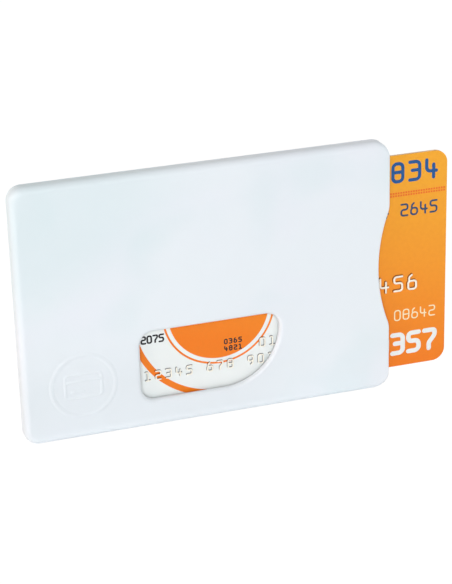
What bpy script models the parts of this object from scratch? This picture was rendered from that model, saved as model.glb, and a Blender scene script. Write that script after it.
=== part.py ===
"""Hard plastic card sleeve with shielding foils, and the bank card that slides in it.

X runs along the sleeve with the open mouth at +X, Z is up, and the front looks towards -Y.
The origin is the middle of the bottom edge, on which the sleeve stands. Lengths are in metres.
The sleeve's own size follows from the card, its clearances and the walls around it.
"""
import math

import bmesh
import bpy
from mathutils import Matrix, Vector

# Card, laminated from two printed sheets and an inlay
CARD_LENGTH = 0.0856
CARD_HEIGHT = 0.05398
CARD_CORNER_RADIUS = 0.00318
PRINTED_SHEET = 0.00016
INLAY = 0.00040
LAMINATE_GAP = 0.00002
CARD_OUT = 0.0154

# Raised characters on the card
EMBOSS_RELIEF = 0.00046
EMBOSS_SINK = 0.00008
EMBOSS_CROSS_STEP = 0.00003
NUMBER_FROM_LEFT = 0.0114
NUMBER_FROM_RIGHT = 0.00886
SMALL_PITCH = 0.00254
DATE_FROM_LEFT = 0.0384
NAME_FROM_LEFT = 0.0096

# Chip and antenna
CHIP_LENGTH = 0.0130
CHIP_HEIGHT = 0.0118
CHIP_CORNER_RADIUS = 0.0015
CHIP_FROM_LEFT = 0.0150
CHIP_FROM_TOP = 0.0239
CHIP_FIT = 0.00005
CAPSULE_DIAMETER = 0.0080
CAPSULE_THICKNESS = 0.00032
COIL_WIRE = 0.00010
COIL_PITCH = 0.00055
COIL_TURNS = 4
COIL_INSET = 0.0036
COIL_CORNER_RADIUS = 0.0030
COIL_CHANNEL_DEPTH = 0.00030
LEAD_CHANNEL_DEPTH = 0.00032
COIL_MARGIN = 0.00040
COIL_CROSSING_DROP = 0.00014

# Stripe and panel on the back of the card
FILM = 0.00002
FILM_GAP = 0.00001
STRIPE_HEIGHT = 0.0127
STRIPE_FROM_TOP = 0.0040
PANEL_LENGTH = 0.0560
PANEL_HEIGHT = 0.0095
PANEL_FROM_END = 0.0040
PANEL_FROM_TOP = 0.0205
PANEL_CORNER_RADIUS = 0.0006

# Sleeve walls and the room around the card
WALL = 0.0010
RAIL_WIDTH = 0.00396
END_WALL = 0.0030
SIDE_CLEARANCE = 0.00040
END_CLEARANCE = 0.00020
MOUTH_INSET = 0.0016
SLOT_CLEARANCE = 0.00024
POCKET_CORNER_RADIUS = 0.0024
SHIELD = 0.00012
SHIELD_BOND = 0.00003
SHIELD_MARGIN = 0.00060
PARTING_GAP = 0.00004

# Sleeve outline and edges
CLOSED_CORNER_RADIUS = 0.0034
MOUTH_CORNER_RADIUS = 0.0038
FRONT_ROUNDING = 0.0012
BACK_ROUNDING = 0.0009
MOUTH_ROUNDING = 0.0003
NOTCH_HEIGHT = 0.0316
NOTCH_DEPTH = 0.00275
NOTCH_BLEND_RADIUS = 0.0060

# Finger window in the front
WINDOW_LENGTH = 0.0348
WINDOW_HEIGHT = 0.0177
WINDOW_FROM_BOTTOM = 0.0069
WINDOW_CORNER_RADIUS = 0.0034
WINDOW_SWEEP_RADIUS = 0.0138
WINDOW_ROUNDING = 0.0005

# Raised emblem on the front: a ring around a card sign
EMBLEM_RADIUS = 0.0076
EMBLEM_FROM_END = 0.0144
EMBLEM_FROM_BOTTOM = 0.0134
EMBLEM_LINE = 0.0007
EMBLEM_RELIEF = 0.00014
EMBLEM_SINK = 0.00010
SIGN_LENGTH = 0.0086
SIGN_HEIGHT = 0.0058
SIGN_CORNER_RADIUS = 0.0009
SIGN_LINE = 0.00055
SIGN_STRIPE_DROP = 0.0017
SIGN_MARK_LENGTH = 0.0026
SIGN_MARK_RAISE = 0.0015

# Locating pins between the shells
PIN_DIAMETER = 0.0014
PIN_LENGTH = 0.0012
PIN_CLEARANCE = 0.00010
PIN_END_INSET = 0.0090
RAIL_PINS = 3

# Reach of a cutter past the solid that it cuts, and the distance at which points are one
OVERRUN = 0.0020
WELD = 0.000002

# Facets on arcs and round edges
CORNER_STEPS = 7
SWEEP_STEPS = 12
NOTCH_STEPS = 14
BLEND_STEPS = 3
EDGE_STEPS = 4
RIM_STEPS = 3
STROKE_STEPS = 2
RING_STEPS = 48
CAPSULE_STEPS = 24
PIN_SIDES = 12

# Share of a raised line's width that its flat top has
RIDGE_TOP_SHARE = 0.45
# Largest share of a straight run that the rounding of one of its corners takes
ROUNDED_RUN_SHARE = 0.4
# Share of a character's width that rounds its corners
CHARACTER_CORNER_SHARE = 0.30
# Share of a character's height that it is wide, middle to middle of its strokes
CHARACTER_WIDTH_SHARE = 0.568
# Each raised row: its foot and its height as shares of the card's height below the chip, then the
# most of its pitch that a character's width takes, and the share of that width that a stroke has
NUMBER_ROW_SHARES = (0.821, 0.153, 0.579, 0.295)
DATE_ROW_SHARES = (0.459, 0.087, 0.472, 0.375)
NAME_ROW_SHARES = (0.285, 0.087, 0.472, 0.375)

# Sizes that follow
CARD_THICKNESS = 2 * PRINTED_SHEET + INLAY + 2 * LAMINATE_GAP
POCKET_HEIGHT = CARD_HEIGHT + 2 * SIDE_CLEARANCE
SLEEVE_HEIGHT = POCKET_HEIGHT + 2 * RAIL_WIDTH
SLEEVE_LENGTH = END_WALL + END_CLEARANCE + CARD_LENGTH + MOUTH_INSET
SLOT = CARD_THICKNESS + EMBOSS_RELIEF + 2 * SLOT_CLEARANCE
SLEEVE_THICKNESS = SLOT + 2 * (WALL + SHIELD_BOND + SHIELD)
FRONT_Y = -SLEEVE_THICKNESS / 2
BACK_Y = SLEEVE_THICKNESS / 2
POCKET_FRONT_Y = FRONT_Y + WALL
POCKET_BACK_Y = BACK_Y - WALL
MOUTH_X = SLEEVE_LENGTH / 2
CLOSED_X = -SLEEVE_LENGTH / 2
MIDDLE_Z = SLEEVE_HEIGHT / 2
CARD_RIGHT = MOUTH_X + CARD_OUT
CARD_LEFT = CARD_RIGHT - CARD_LENGTH
CARD_TOP = MIDDLE_Z + CARD_HEIGHT / 2
CARD_BOTTOM = MIDDLE_Z - CARD_HEIGHT / 2
CARD_FRONT_Y = POCKET_FRONT_Y + SHIELD_BOND + SHIELD + SLOT_CLEARANCE + EMBOSS_RELIEF
INLAY_FRONT_Y = CARD_FRONT_Y + PRINTED_SHEET + LAMINATE_GAP
INLAY_BACK_Y = INLAY_FRONT_Y + INLAY
CARD_BACK_Y = INLAY_BACK_Y + LAMINATE_GAP + PRINTED_SHEET
CHIP_X = CARD_LEFT + CHIP_FROM_LEFT
CHIP_Z = CARD_TOP - CHIP_FROM_TOP
ROWS_HEIGHT = CARD_HEIGHT - CHIP_FROM_TOP - CHIP_HEIGHT / 2

# Strokes of each numeral in a unit box: the main strokes, then the ones that cross or join them.
# Each stroke is its corner points and whether it closes on itself.
NUMERAL_SHARES = {
    "0": [[(0, 0), (1, 0), (1, 1), (0, 1)], True, None],
    "1": [[(0.1, 1), (0.5, 1), (0.5, 0)], False, [(0.08, 0), (0.92, 0)]],
    "2": [[(0, 1), (1, 1), (1, 0.52), (0, 0.52), (0, 0), (1, 0)], False, None],
    "3": [[(0, 1), (1, 1), (1, 0), (0, 0)], False, [(0.25, 0.53), (1, 0.53)]],
    "4": [[(0, 1), (0, 0.36), (1, 0.36)], False, [(0.72, 0.72), (0.72, 0)]],
    "5": [[(1, 1), (0, 1), (0, 0.55), (1, 0.55), (1, 0), (0, 0)], False, None],
    "6": [[(0, 0), (1, 0), (1, 0.58), (0, 0.58)], True, [(0.12, 0.58), (0.12, 0.86), (0.45, 1)]],
    "7": [[(0, 1), (1, 1), (1, 0.7), (0.45, 0.3), (0.45, 0)], False, None],
    "8": [[(0, 0), (1, 0), (1, 1), (0, 1)], True, [(0, 0.52), (1, 0.52)]],
    "9": [[(0, 0.42), (1, 0.42), (1, 1), (0, 1)], True, [(0.88, 0.42), (0.88, 0.14), (0.55, 0)]],
}
NUMBER_LINE = "1234 5678 9012 3456"
DATE_LINE = "01 23"
NAME_LINE = "12345 678 90123"


def new_collection(name):
    collection = bpy.data.collections.new(name)
    bpy.context.scene.collection.children.link(collection)
    return collection


def clear_scene():
    for thing in list(bpy.data.objects):
        bpy.data.objects.remove(thing, do_unlink=True)


def make_material(name, colour, roughness, metallic=0.0):
    material = bpy.data.materials.new(name)
    material.use_nodes = True
    shader = material.node_tree.nodes["Principled BSDF"]
    shader.inputs["Base Color"].default_value = (*colour, 1.0)
    shader.inputs["Roughness"].default_value = roughness
    shader.inputs["Metallic"].default_value = metallic
    material.diffuse_color = (*colour, 1.0)
    return material


def mesh_object(name, bm, collection, material=None):
    mesh = bpy.data.meshes.new(name)
    bm.to_mesh(mesh)
    bm.free()
    if material:
        mesh.materials.append(material)
    thing = bpy.data.objects.new(name, mesh)
    collection.objects.link(thing)
    return thing


def as_cutter(thing):
    thing.hide_render = True
    thing.display_type = "WIRE"
    return thing


def arc(centre, radii, start, end, steps):
    """Points on an ellipse about a centre, by angle in degrees from +X towards +Z."""
    points = []
    for step in range(steps + 1):
        angle = math.radians(start + (end - start) * step / steps)
        points.append((centre[0] + radii[0] * math.cos(angle), centre[1] + radii[1] * math.sin(angle)))
    return points


def rounded_path(corners, radius, closed, steps):
    """Corner points joined by straight runs, with an arc of the radius at each corner."""
    points = []
    count = len(corners)
    for index in range(count):
        here = Vector(corners[index])
        if not closed and index in (0, count - 1):
            points.append(tuple(here))
            continue
        back = Vector(corners[index - 1]) - here
        ahead = Vector(corners[(index + 1) % count]) - here
        half_angle = back.angle(ahead) / 2
        run = min(back.length, ahead.length)
        reach = min(radius / math.tan(half_angle), run * ROUNDED_RUN_SHARE)
        true_radius = reach * math.tan(half_angle)
        inward = (back.normalized() + ahead.normalized()).normalized()
        centre = here + inward * true_radius / math.sin(half_angle)
        first = here + back.normalized() * reach - centre
        last = here + ahead.normalized() * reach - centre
        turn = first.angle_signed(last)
        for step in range(steps + 1):
            spoke = first.copy()
            spoke.rotate(Matrix.Rotation(-turn * step / steps, 2))
            points.append(tuple(centre + spoke))
    return points


def rounded_box_path(left, right, bottom, top, radius, steps=CORNER_STEPS):
    corners = [(left, bottom), (right, bottom), (right, top), (left, top)]
    return rounded_path(corners, radius, True, steps)


def flat_curve(name, outlines, closed=True):
    """A curve in the upright plane: its own X and Y become X and Z, and its own Z looks to -Y."""
    curve = bpy.data.curves.new(name, "CURVE")
    curve.dimensions = "2D"
    for outline in outlines:
        spline = curve.splines.new("POLY")
        spline.points.add(len(outline) - 1)
        for point, (x, z) in zip(spline.points, outline):
            point.co = (x, z, 0, 1)
        spline.use_cyclic_u = closed
    return curve


def face_outwards(bm):
    """Gives each shell one winding, and turns it over where its signed volume is negative."""
    bm.normal_update()
    bmesh.ops.recalc_face_normals(bm, faces=bm.faces)
    waiting = set(bm.faces)
    while waiting:
        shell = set()
        front = [waiting.pop()]
        while front:
            face = front.pop()
            shell.add(face)
            for edge in face.edges:
                fresh = waiting.intersection(edge.link_faces)
                waiting -= fresh
                front += fresh
        flux = sum(face.calc_area() * face.normal.dot(face.calc_center_median()) for face in shell)
        if flux < 0:
            bmesh.ops.reverse_faces(bm, faces=list(shell))


def mesh_from_curve(name, curve, place, collection, material=None):
    """The curve's evaluated solid as a mesh object, with its caps welded and its place applied."""
    guide = bpy.data.objects.new(name + "_guide", curve)
    guide.matrix_world = place
    bpy.context.scene.collection.objects.link(guide)
    bpy.context.view_layer.update()
    solid = guide.evaluated_get(bpy.context.evaluated_depsgraph_get())
    mesh = bpy.data.meshes.new_from_object(solid)
    bm = bmesh.new()
    bm.from_mesh(mesh)
    bmesh.ops.remove_doubles(bm, verts=bm.verts, dist=WELD)
    bm.transform(guide.matrix_world)
    face_outwards(bm)
    bpy.data.objects.remove(guide, do_unlink=True)
    bpy.data.meshes.remove(mesh)
    return mesh_object(name, bm, collection, material)


def upright(y):
    """Turns a curve's own plane upright at a depth y."""
    return Matrix.Translation((0, y, 0)) @ Matrix.Rotation(math.radians(90), 4, "X")


def plate(name, outlines, front_y, back_y, collection, material=None):
    """A flat plate between two depths, with the outlines after the first as holes in it."""
    curve = flat_curve(name, outlines)
    curve.fill_mode = "BOTH"
    curve.extrude = (back_y - front_y) / 2
    return mesh_from_curve(name, curve, upright((front_y + back_y) / 2), collection, material)


def ridges(name, paths, closed, width, relief, sink, face_y, collection):
    """Raised lines on a face: a section with slanted sides, carried along each path."""
    profile = bpy.data.curves.new(name + "_profile", "CURVE")
    profile.dimensions = "2D"
    spline = profile.splines.new("POLY")
    foot = width / 2
    crest = foot * RIDGE_TOP_SHARE
    section = [(-foot, -sink), (foot, -sink), (crest, relief), (-crest, relief)]
    spline.points.add(len(section) - 1)
    for point, (across, height) in zip(spline.points, section):
        point.co = (across, height, 0, 1)
    spline.use_cyclic_u = True
    profile_guide = bpy.data.objects.new(name + "_profile", profile)
    curve = flat_curve(name, paths, closed)
    curve.fill_mode = "NONE"
    curve.bevel_mode = "OBJECT"
    curve.bevel_object = profile_guide
    curve.use_fill_caps = True
    solid = mesh_from_curve(name, curve, upright(face_y), collection)
    bpy.data.objects.remove(profile_guide, do_unlink=True)
    return as_cutter(solid)


def loft(name, rings, collection, material=None, endless=False):
    """A solid through rings of equal count: capped at both ends, or back to its first ring."""
    bm = bmesh.new()
    rows = [[bm.verts.new(point) for point in ring] for ring in rings]
    count = len(rows[0])
    for lower, upper in zip(rows, rows[1:] + rows[:1] if endless else rows[1:]):
        for index in range(count):
            ahead = (index + 1) % count
            bm.faces.new((lower[index], lower[ahead], upper[ahead], upper[index]))
    if not endless:
        bm.faces.new(rows[0])
        bm.faces.new(rows[-1])
    bmesh.ops.recalc_face_normals(bm, faces=bm.faces)
    return mesh_object(name, bm, collection, material)


def combine(thing, operation, other):
    modifier = thing.modifiers.new(other.name, "BOOLEAN")
    modifier.operation = operation
    modifier.solver = "EXACT"
    modifier.object = other


def notch_points(inset):
    """The mouth's thumb notch from bottom to top: a wide hollow arc with a blend at each end."""
    blend = NOTCH_BLEND_RADIUS - inset
    hollow = (NOTCH_HEIGHT ** 2 / 4 + NOTCH_DEPTH ** 2) / (2 * NOTCH_DEPTH) - NOTCH_BLEND_RADIUS
    hollow_x = MOUTH_X - NOTCH_DEPTH + hollow
    turn = math.degrees(math.asin(NOTCH_HEIGHT / 2 / (hollow + NOTCH_BLEND_RADIUS)))
    blend_x = MOUTH_X - NOTCH_BLEND_RADIUS
    low = (blend_x, MIDDLE_Z - NOTCH_HEIGHT / 2)
    high = (blend_x, MIDDLE_Z + NOTCH_HEIGHT / 2)
    middle = (hollow_x, MIDDLE_Z)
    reach = hollow + inset
    points = arc(low, (blend, blend), 0, turn, BLEND_STEPS)
    points += arc(middle, (reach, reach), 180 + turn, 180 - turn, NOTCH_STEPS)[1:-1]
    points += arc(high, (blend, blend), -turn, 0, BLEND_STEPS)
    return points


def sleeve_outline(inset, mouth_inset):
    """The sleeve's outline drawn in, less so at the mouth, as x, z and a weight.

    The weight is 1 on the rails and the closed end, 0 at the mouth, and blends round the corners.
    """
    centre_x = MOUTH_X - MOUTH_CORNER_RADIUS
    radii = (MOUTH_CORNER_RADIUS - mouth_inset, MOUTH_CORNER_RADIUS - inset)
    closed_radii = (CLOSED_CORNER_RADIUS - inset, CLOSED_CORNER_RADIUS - inset)
    closed_centre = CLOSED_X + CLOSED_CORNER_RADIUS
    points = []
    for step, (x, z) in enumerate(arc((centre_x, MOUTH_CORNER_RADIUS), radii, -90, 0, CORNER_STEPS)):
        points.append((x, z, math.cos(math.radians(90) * step / CORNER_STEPS) ** 2))
    points += [(x, z, 0) for x, z in notch_points(mouth_inset)]
    top = (centre_x, SLEEVE_HEIGHT - MOUTH_CORNER_RADIUS)
    for step, (x, z) in enumerate(arc(top, radii, 0, 90, CORNER_STEPS)):
        points.append((x, z, math.sin(math.radians(90) * step / CORNER_STEPS) ** 2))
    for centre_z, start in ((SLEEVE_HEIGHT - CLOSED_CORNER_RADIUS, 90), (CLOSED_CORNER_RADIUS, 180)):
        corner = arc((closed_centre, centre_z), closed_radii, start, start + 90, CORNER_STEPS)
        points += [(x, z, 1) for x, z in corner]
    return points


def rounded_rings(face_y, side_y, rounding):
    """Rings from a flat face round its edge to the side, which ends at side_y."""
    inward = math.copysign(1, side_y - face_y)
    rings = []
    for step in range(EDGE_STEPS + 1):
        angle = math.radians(90) * step / EDGE_STEPS
        drawn_in = 1 - math.sin(angle)
        drop = inward * (1 - math.cos(angle))
        ring = []
        for x, z, weight in sleeve_outline(rounding * drawn_in, MOUTH_ROUNDING * drawn_in):
            local = MOUTH_ROUNDING + weight * (rounding - MOUTH_ROUNDING)
            ring.append((x, face_y + drop * local, z))
        rings.append(ring)
    rings.append([(x, side_y, z) for x, z, weight in sleeve_outline(0, 0)])
    return rings


def window_outline(grow):
    """The finger window: three small corners and one wide sweep at the lower right."""
    left = -WINDOW_LENGTH / 2
    right = WINDOW_LENGTH / 2
    bottom = WINDOW_FROM_BOTTOM
    top = bottom + WINDOW_HEIGHT
    small = WINDOW_CORNER_RADIUS
    wide = WINDOW_SWEEP_RADIUS
    corners = (
        ((right - wide, bottom + wide), wide, -90, SWEEP_STEPS),
        ((right - small, top - small), small, 0, CORNER_STEPS),
        ((left + small, top - small), small, 90, CORNER_STEPS),
        ((left + small, bottom + small), small, 180, CORNER_STEPS),
    )
    points = []
    for centre, radius, start, steps in corners:
        points += arc(centre, (radius + grow, radius + grow), start, start + 90, steps)
    return points


def window_cutter(collection):
    """The window's opening, flared where its rim is rounded over to the front face."""
    levels = [(POCKET_FRONT_Y + OVERRUN, 0)]
    for step in range(RIM_STEPS + 1):
        angle = math.radians(90) * step / RIM_STEPS
        depth = FRONT_Y + WINDOW_ROUNDING * (1 - math.sin(angle))
        levels.append((depth, WINDOW_ROUNDING * (1 - math.cos(angle))))
    levels.append((FRONT_Y - OVERRUN, WINDOW_ROUNDING))
    rings = [[(x, y, z) for x, z in window_outline(grow)] for y, grow in levels]
    return as_cutter(loft("window_cutter", rings, collection))


def pocket_outline(margin=0, reach=OVERRUN):
    """The card's room between the rails, open at the mouth; a margin draws it in."""
    left = CLOSED_X + END_WALL + margin
    bottom = MIDDLE_Z - POCKET_HEIGHT / 2 + margin
    top = MIDDLE_Z + POCKET_HEIGHT / 2 - margin
    right = MOUTH_X + reach
    corner = POCKET_CORNER_RADIUS
    points = [(right, bottom), (right, top)]
    points += arc((left + corner, top - corner), (corner, corner), 90, 180, CORNER_STEPS)
    points += arc((left + corner, bottom + corner), (corner, corner), 180, 270, CORNER_STEPS)
    return points


def pin_places():
    """Pin centres: evenly along both rails, and one in the middle of the closed end."""
    first = CLOSED_X + PIN_END_INSET
    run = SLEEVE_LENGTH - 2 * PIN_END_INSET
    places = [(CLOSED_X + END_WALL / 2, MIDDLE_Z)]
    for index in range(RAIL_PINS):
        x = first + run * index / (RAIL_PINS - 1)
        places += [(x, RAIL_WIDTH / 2), (x, SLEEVE_HEIGHT - RAIL_WIDTH / 2)]
    return places


def pins(name, radius, tip_y, root_y, collection):
    bm = bmesh.new()
    for x, z in pin_places():
        place = Matrix.Translation((x, (tip_y + root_y) / 2, z)) @ Matrix.Rotation(math.radians(90), 4, "X")
        bmesh.ops.create_cone(
            bm, cap_ends=True, segments=PIN_SIDES, radius1=radius, radius2=radius,
            depth=root_y - tip_y, matrix=place)
    return as_cutter(mesh_object(name, bm, collection))


def emblem_paths():
    """The ring, the card sign's outline and its short mark, then the stripe that joins the outline."""
    centre_x = CLOSED_X + EMBLEM_FROM_END
    centre_z = EMBLEM_FROM_BOTTOM
    ring = arc((centre_x, centre_z), (EMBLEM_RADIUS, EMBLEM_RADIUS), 0, 360, RING_STEPS)[:-1]
    left = centre_x - SIGN_LENGTH / 2
    right = centre_x + SIGN_LENGTH / 2
    bottom = centre_z - SIGN_HEIGHT / 2
    top = centre_z + SIGN_HEIGHT / 2
    sign = rounded_box_path(left, right, bottom, top, SIGN_CORNER_RADIUS, STROKE_STEPS)
    mark_z = bottom + SIGN_MARK_RAISE
    mark_left = left + SIGN_MARK_RAISE
    mark = [(mark_left, mark_z), (mark_left + SIGN_MARK_LENGTH, mark_z)]
    stripe = [(left, top - SIGN_STRIPE_DROP), (right, top - SIGN_STRIPE_DROP)]
    return ring, sign, mark, stripe


def make_front_shell(parts, cutters, material):
    """The front half: a face with the rails and the closed end, and the pocket between them."""
    side_y = POCKET_BACK_Y - PARTING_GAP
    shell = loft("front_shell", rounded_rings(FRONT_Y, side_y, FRONT_ROUNDING), parts, material)
    pocket = plate("pocket_cutter", [pocket_outline()], POCKET_FRONT_Y, side_y + OVERRUN, cutters)
    combine(shell, "DIFFERENCE", as_cutter(pocket))
    combine(shell, "DIFFERENCE", window_cutter(cutters))
    hole_radius = PIN_DIAMETER / 2 + PIN_CLEARANCE
    hole_depth = PIN_LENGTH + PIN_CLEARANCE
    holes = pins("pin_holes", hole_radius, POCKET_BACK_Y - hole_depth, side_y + OVERRUN, cutters)
    combine(shell, "DIFFERENCE", holes)
    ring, sign, mark, stripe = emblem_paths()
    relief = (EMBLEM_RELIEF, EMBLEM_SINK, FRONT_Y, cutters)
    combine(shell, "UNION", ridges("emblem_ring", [ring], True, EMBLEM_LINE, *relief))
    combine(shell, "UNION", ridges("emblem_sign", [sign], True, SIGN_LINE, *relief))
    combine(shell, "UNION", ridges("emblem_mark", [mark], False, SIGN_LINE, *relief))
    combine(shell, "UNION", ridges("emblem_stripe", [stripe], False, SIGN_LINE, *relief))
    return shell


def make_back_shell(parts, cutters, material):
    """The back half: a flat cover with the locating pins that enter the rails."""
    shell = loft("back_shell", rounded_rings(BACK_Y, POCKET_BACK_Y, BACK_ROUNDING), parts, material)
    tip_y = POCKET_BACK_Y - PIN_LENGTH
    root_y = POCKET_BACK_Y + WALL / 2
    combine(shell, "UNION", pins("locating_pins", PIN_DIAMETER / 2, tip_y, root_y, cutters))
    return shell


def shield_outline():
    """A foil as wide as the pocket less a margin, which follows the thumb notch at the mouth."""
    edge = notch_points(SHIELD_MARGIN)
    mouth = [(x - SHIELD_MARGIN, z) for x, z in edge]
    points = pocket_outline(SHIELD_MARGIN, -SHIELD_MARGIN)
    return points[:1] + mouth + points[1:]


def make_shields(parts, material):
    """The two foils that line the pocket, the front one cut out round the window."""
    front_y = POCKET_FRONT_Y + SHIELD_BOND
    outline = shield_outline()
    outlines = [outline, window_outline(SHIELD_MARGIN)]
    plate("front_shield", outlines, front_y, front_y + SHIELD, parts, material)
    back_y = POCKET_BACK_Y - SHIELD_BOND
    plate("back_shield", [outline], back_y - SHIELD, back_y, parts, material)


def character_paths(line, from_left, pitch, width, foot):
    """The strokes of a line of numerals, in three groups that each hold only separate strokes."""
    height = width / CHARACTER_WIDTH_SHARE
    groups = {"open": [], "loop": [], "cross": []}
    for index, character in enumerate(line):
        if character == " ":
            continue
        corners, closed, cross = NUMERAL_SHARES[character]
        left = CARD_LEFT + from_left + pitch * index - width / 2
        bottom = CARD_BOTTOM + foot
        for shares, group in ((corners, "loop" if closed else "open"), (cross, "cross")):
            if shares:
                placed = [(left + width * u, bottom + height * v) for u, v in shares]
                radius = width * CHARACTER_CORNER_SHARE
                groups[group].append(rounded_path(placed, radius, group == "loop", STROKE_STEPS))
    return groups


def raise_row(sheet, name, line, from_left, pitch, row_shares, cutters):
    """Joins a line of raised numerals to the sheet, as large as the row's height and pitch allow.

    The strokes that cross others are a step lower than the main ones.
    """
    foot, row_height, pitch_part, stroke_part = row_shares
    width = min(row_height * ROWS_HEIGHT * CHARACTER_WIDTH_SHARE, pitch * pitch_part)
    groups = character_paths(line, from_left, pitch, width, foot * ROWS_HEIGHT)
    for group, paths in groups.items():
        if paths:
            step = EMBOSS_CROSS_STEP if group == "cross" else 0
            size = (width * stroke_part, EMBOSS_RELIEF - step, EMBOSS_SINK + step)
            strokes = ridges(f"{name}_{group}", paths, group == "loop", *size, CARD_FRONT_Y, cutters)
            combine(sheet, "UNION", strokes)


def chip_outline(grow):
    half_length = CHIP_LENGTH / 2 + grow
    half_height = CHIP_HEIGHT / 2 + grow
    radius = CHIP_CORNER_RADIUS + grow
    return rounded_box_path(
        CHIP_X - half_length, CHIP_X + half_length, CHIP_Z - half_height, CHIP_Z + half_height, radius)


def capsule_disc(grow):
    radius = CAPSULE_DIAMETER / 2 + grow
    return arc((CHIP_X, CHIP_Z), (radius, radius), 0, 360, CAPSULE_STEPS)[:-1]


def card_outline():
    return rounded_box_path(CARD_LEFT, CARD_RIGHT, CARD_BOTTOM, CARD_TOP, CARD_CORNER_RADIUS)


def make_printed_sheets(parts, cutters, material):
    """The printed front sheet with its raised numerals and chip cut-out, and the back sheet."""
    back_y = CARD_FRONT_Y + PRINTED_SHEET
    outlines = [card_outline(), chip_outline(CHIP_FIT)]
    front = plate("card_front_sheet", outlines, CARD_FRONT_Y, back_y, parts, material)
    number_run = CARD_LENGTH - NUMBER_FROM_LEFT - NUMBER_FROM_RIGHT
    number_pitch = number_run / (len(NUMBER_LINE) - 1)
    raise_row(front, "number", NUMBER_LINE, NUMBER_FROM_LEFT, number_pitch, NUMBER_ROW_SHARES, cutters)
    raise_row(front, "date", DATE_LINE, DATE_FROM_LEFT, SMALL_PITCH, DATE_ROW_SHARES, cutters)
    raise_row(front, "name", NAME_LINE, NAME_FROM_LEFT, SMALL_PITCH, NAME_ROW_SHARES, cutters)
    plate("card_back_sheet", [card_outline()], CARD_BACK_Y - PRINTED_SHEET, CARD_BACK_Y, parts, material)


def coil_box(inset):
    """Left, right, bottom and top of a turn that lies a given way inside the card's edge."""
    return CARD_LEFT + inset, CARD_RIGHT - inset, CARD_BOTTOM + inset, CARD_TOP - inset


def make_inlay(parts, cutters, material):
    """The inlay, with a channel for the antenna and a round seat for the chip's capsule."""
    inlay = plate("card_inlay", [card_outline()], INLAY_FRONT_Y, INLAY_BACK_Y, parts, material)
    floor_y = INLAY_FRONT_Y + COIL_CHANNEL_DEPTH
    outer = rounded_box_path(*coil_box(COIL_INSET - COIL_MARGIN), COIL_CORNER_RADIUS)
    inner_inset = COIL_INSET + COIL_PITCH * COIL_TURNS + COIL_MARGIN
    inner = rounded_box_path(*coil_box(inner_inset), COIL_CORNER_RADIUS)
    open_y = INLAY_FRONT_Y - OVERRUN
    section = ((outer, open_y), (outer, floor_y), (inner, floor_y), (inner, open_y))
    rings = [[(x, y, z) for x, z in path] for path, y in section]
    channel = loft("coil_channel", rings, cutters, endless=True)
    combine(inlay, "DIFFERENCE", as_cutter(channel))
    seat = plate("capsule_seat", [capsule_disc(CHIP_FIT)], open_y, INLAY_BACK_Y + OVERRUN, cutters)
    combine(inlay, "DIFFERENCE", as_cutter(seat))
    lead_y = INLAY_FRONT_Y + LEAD_CHANNEL_DEPTH
    slot = plate("lead_channel", [lead_channel()], open_y, lead_y, cutters)
    combine(inlay, "DIFFERENCE", as_cutter(slot))
    return inlay


def lead_ends():
    """Where the two antenna leads run: one height above and one below the chip's middle."""
    spread = COIL_WIRE + COIL_MARGIN
    return CHIP_Z + spread, CHIP_Z - spread


def lead_channel():
    """The slot from the antenna channel's left run to the capsule's seat."""
    high, low = lead_ends()
    left = CARD_LEFT + COIL_INSET
    bottom = low - COIL_MARGIN
    top = high + COIL_MARGIN
    return [(left, bottom), (CHIP_X, bottom), (CHIP_X, top), (left, top)]


def make_antenna(parts, material):
    """One unbroken wire: in from the chip, round the card in turns that step outwards, and back.

    Each turn starts at the left run between the two leads. The lead from the outer turn passes
    behind the inner turns.
    """
    wire_y = INLAY_FRONT_Y + LAMINATE_GAP + COIL_WIRE / 2
    back_y = wire_y + COIL_CROSSING_DROP
    high, low = lead_ends()
    end_x = CHIP_X - CAPSULE_DIAMETER / 2 - CHIP_FIT
    inner = COIL_INSET + COIL_PITCH * COIL_TURNS
    points = [(end_x, wire_y, high), (CARD_LEFT + inner, wire_y, high)]
    for turn in range(COIL_TURNS):
        inset = inner - COIL_PITCH * turn
        left, right, bottom, top = coil_box(inset)
        next_left = left - COIL_PITCH
        corners = [(left, high), (left, top), (right, top), (right, bottom)]
        corners += [(next_left, bottom), (next_left, high)]
        path = rounded_path(corners, COIL_CORNER_RADIUS, False, STROKE_STEPS)
        points += [(x, wire_y, z) for x, z in path[1:-1]]
    outer_left = CARD_LEFT + COIL_INSET
    points.append((outer_left, wire_y, low - COIL_MARGIN / 2))
    points.append((outer_left, wire_y, low))
    points.append((outer_left + COIL_PITCH / 2, back_y, low))
    points.append((end_x - COIL_PITCH, back_y, low))
    points.append((end_x, wire_y, low))
    curve = bpy.data.curves.new("antenna_coil", "CURVE")
    curve.dimensions = "3D"
    curve.bevel_depth = COIL_WIRE / 2
    curve.bevel_resolution = 1
    curve.use_fill_caps = True
    spline = curve.splines.new("POLY")
    spline.points.add(len(points) - 1)
    for point, place in zip(spline.points, points):
        point.co = (*place, 1)
    return mesh_from_curve("antenna_coil", curve, Matrix.Identity(4), parts, material)


def make_chip(parts, contact, capsule):
    """The contact plate, flush in the front sheet, and the capsule behind it."""
    plate_back = CARD_FRONT_Y + PRINTED_SHEET
    plate("chip_contact_plate", [chip_outline(0)], CARD_FRONT_Y, plate_back, parts, contact)
    capsule_back = INLAY_FRONT_Y + CAPSULE_THICKNESS
    plate("chip_capsule", [capsule_disc(0)], INLAY_FRONT_Y, capsule_back, parts, capsule)


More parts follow.
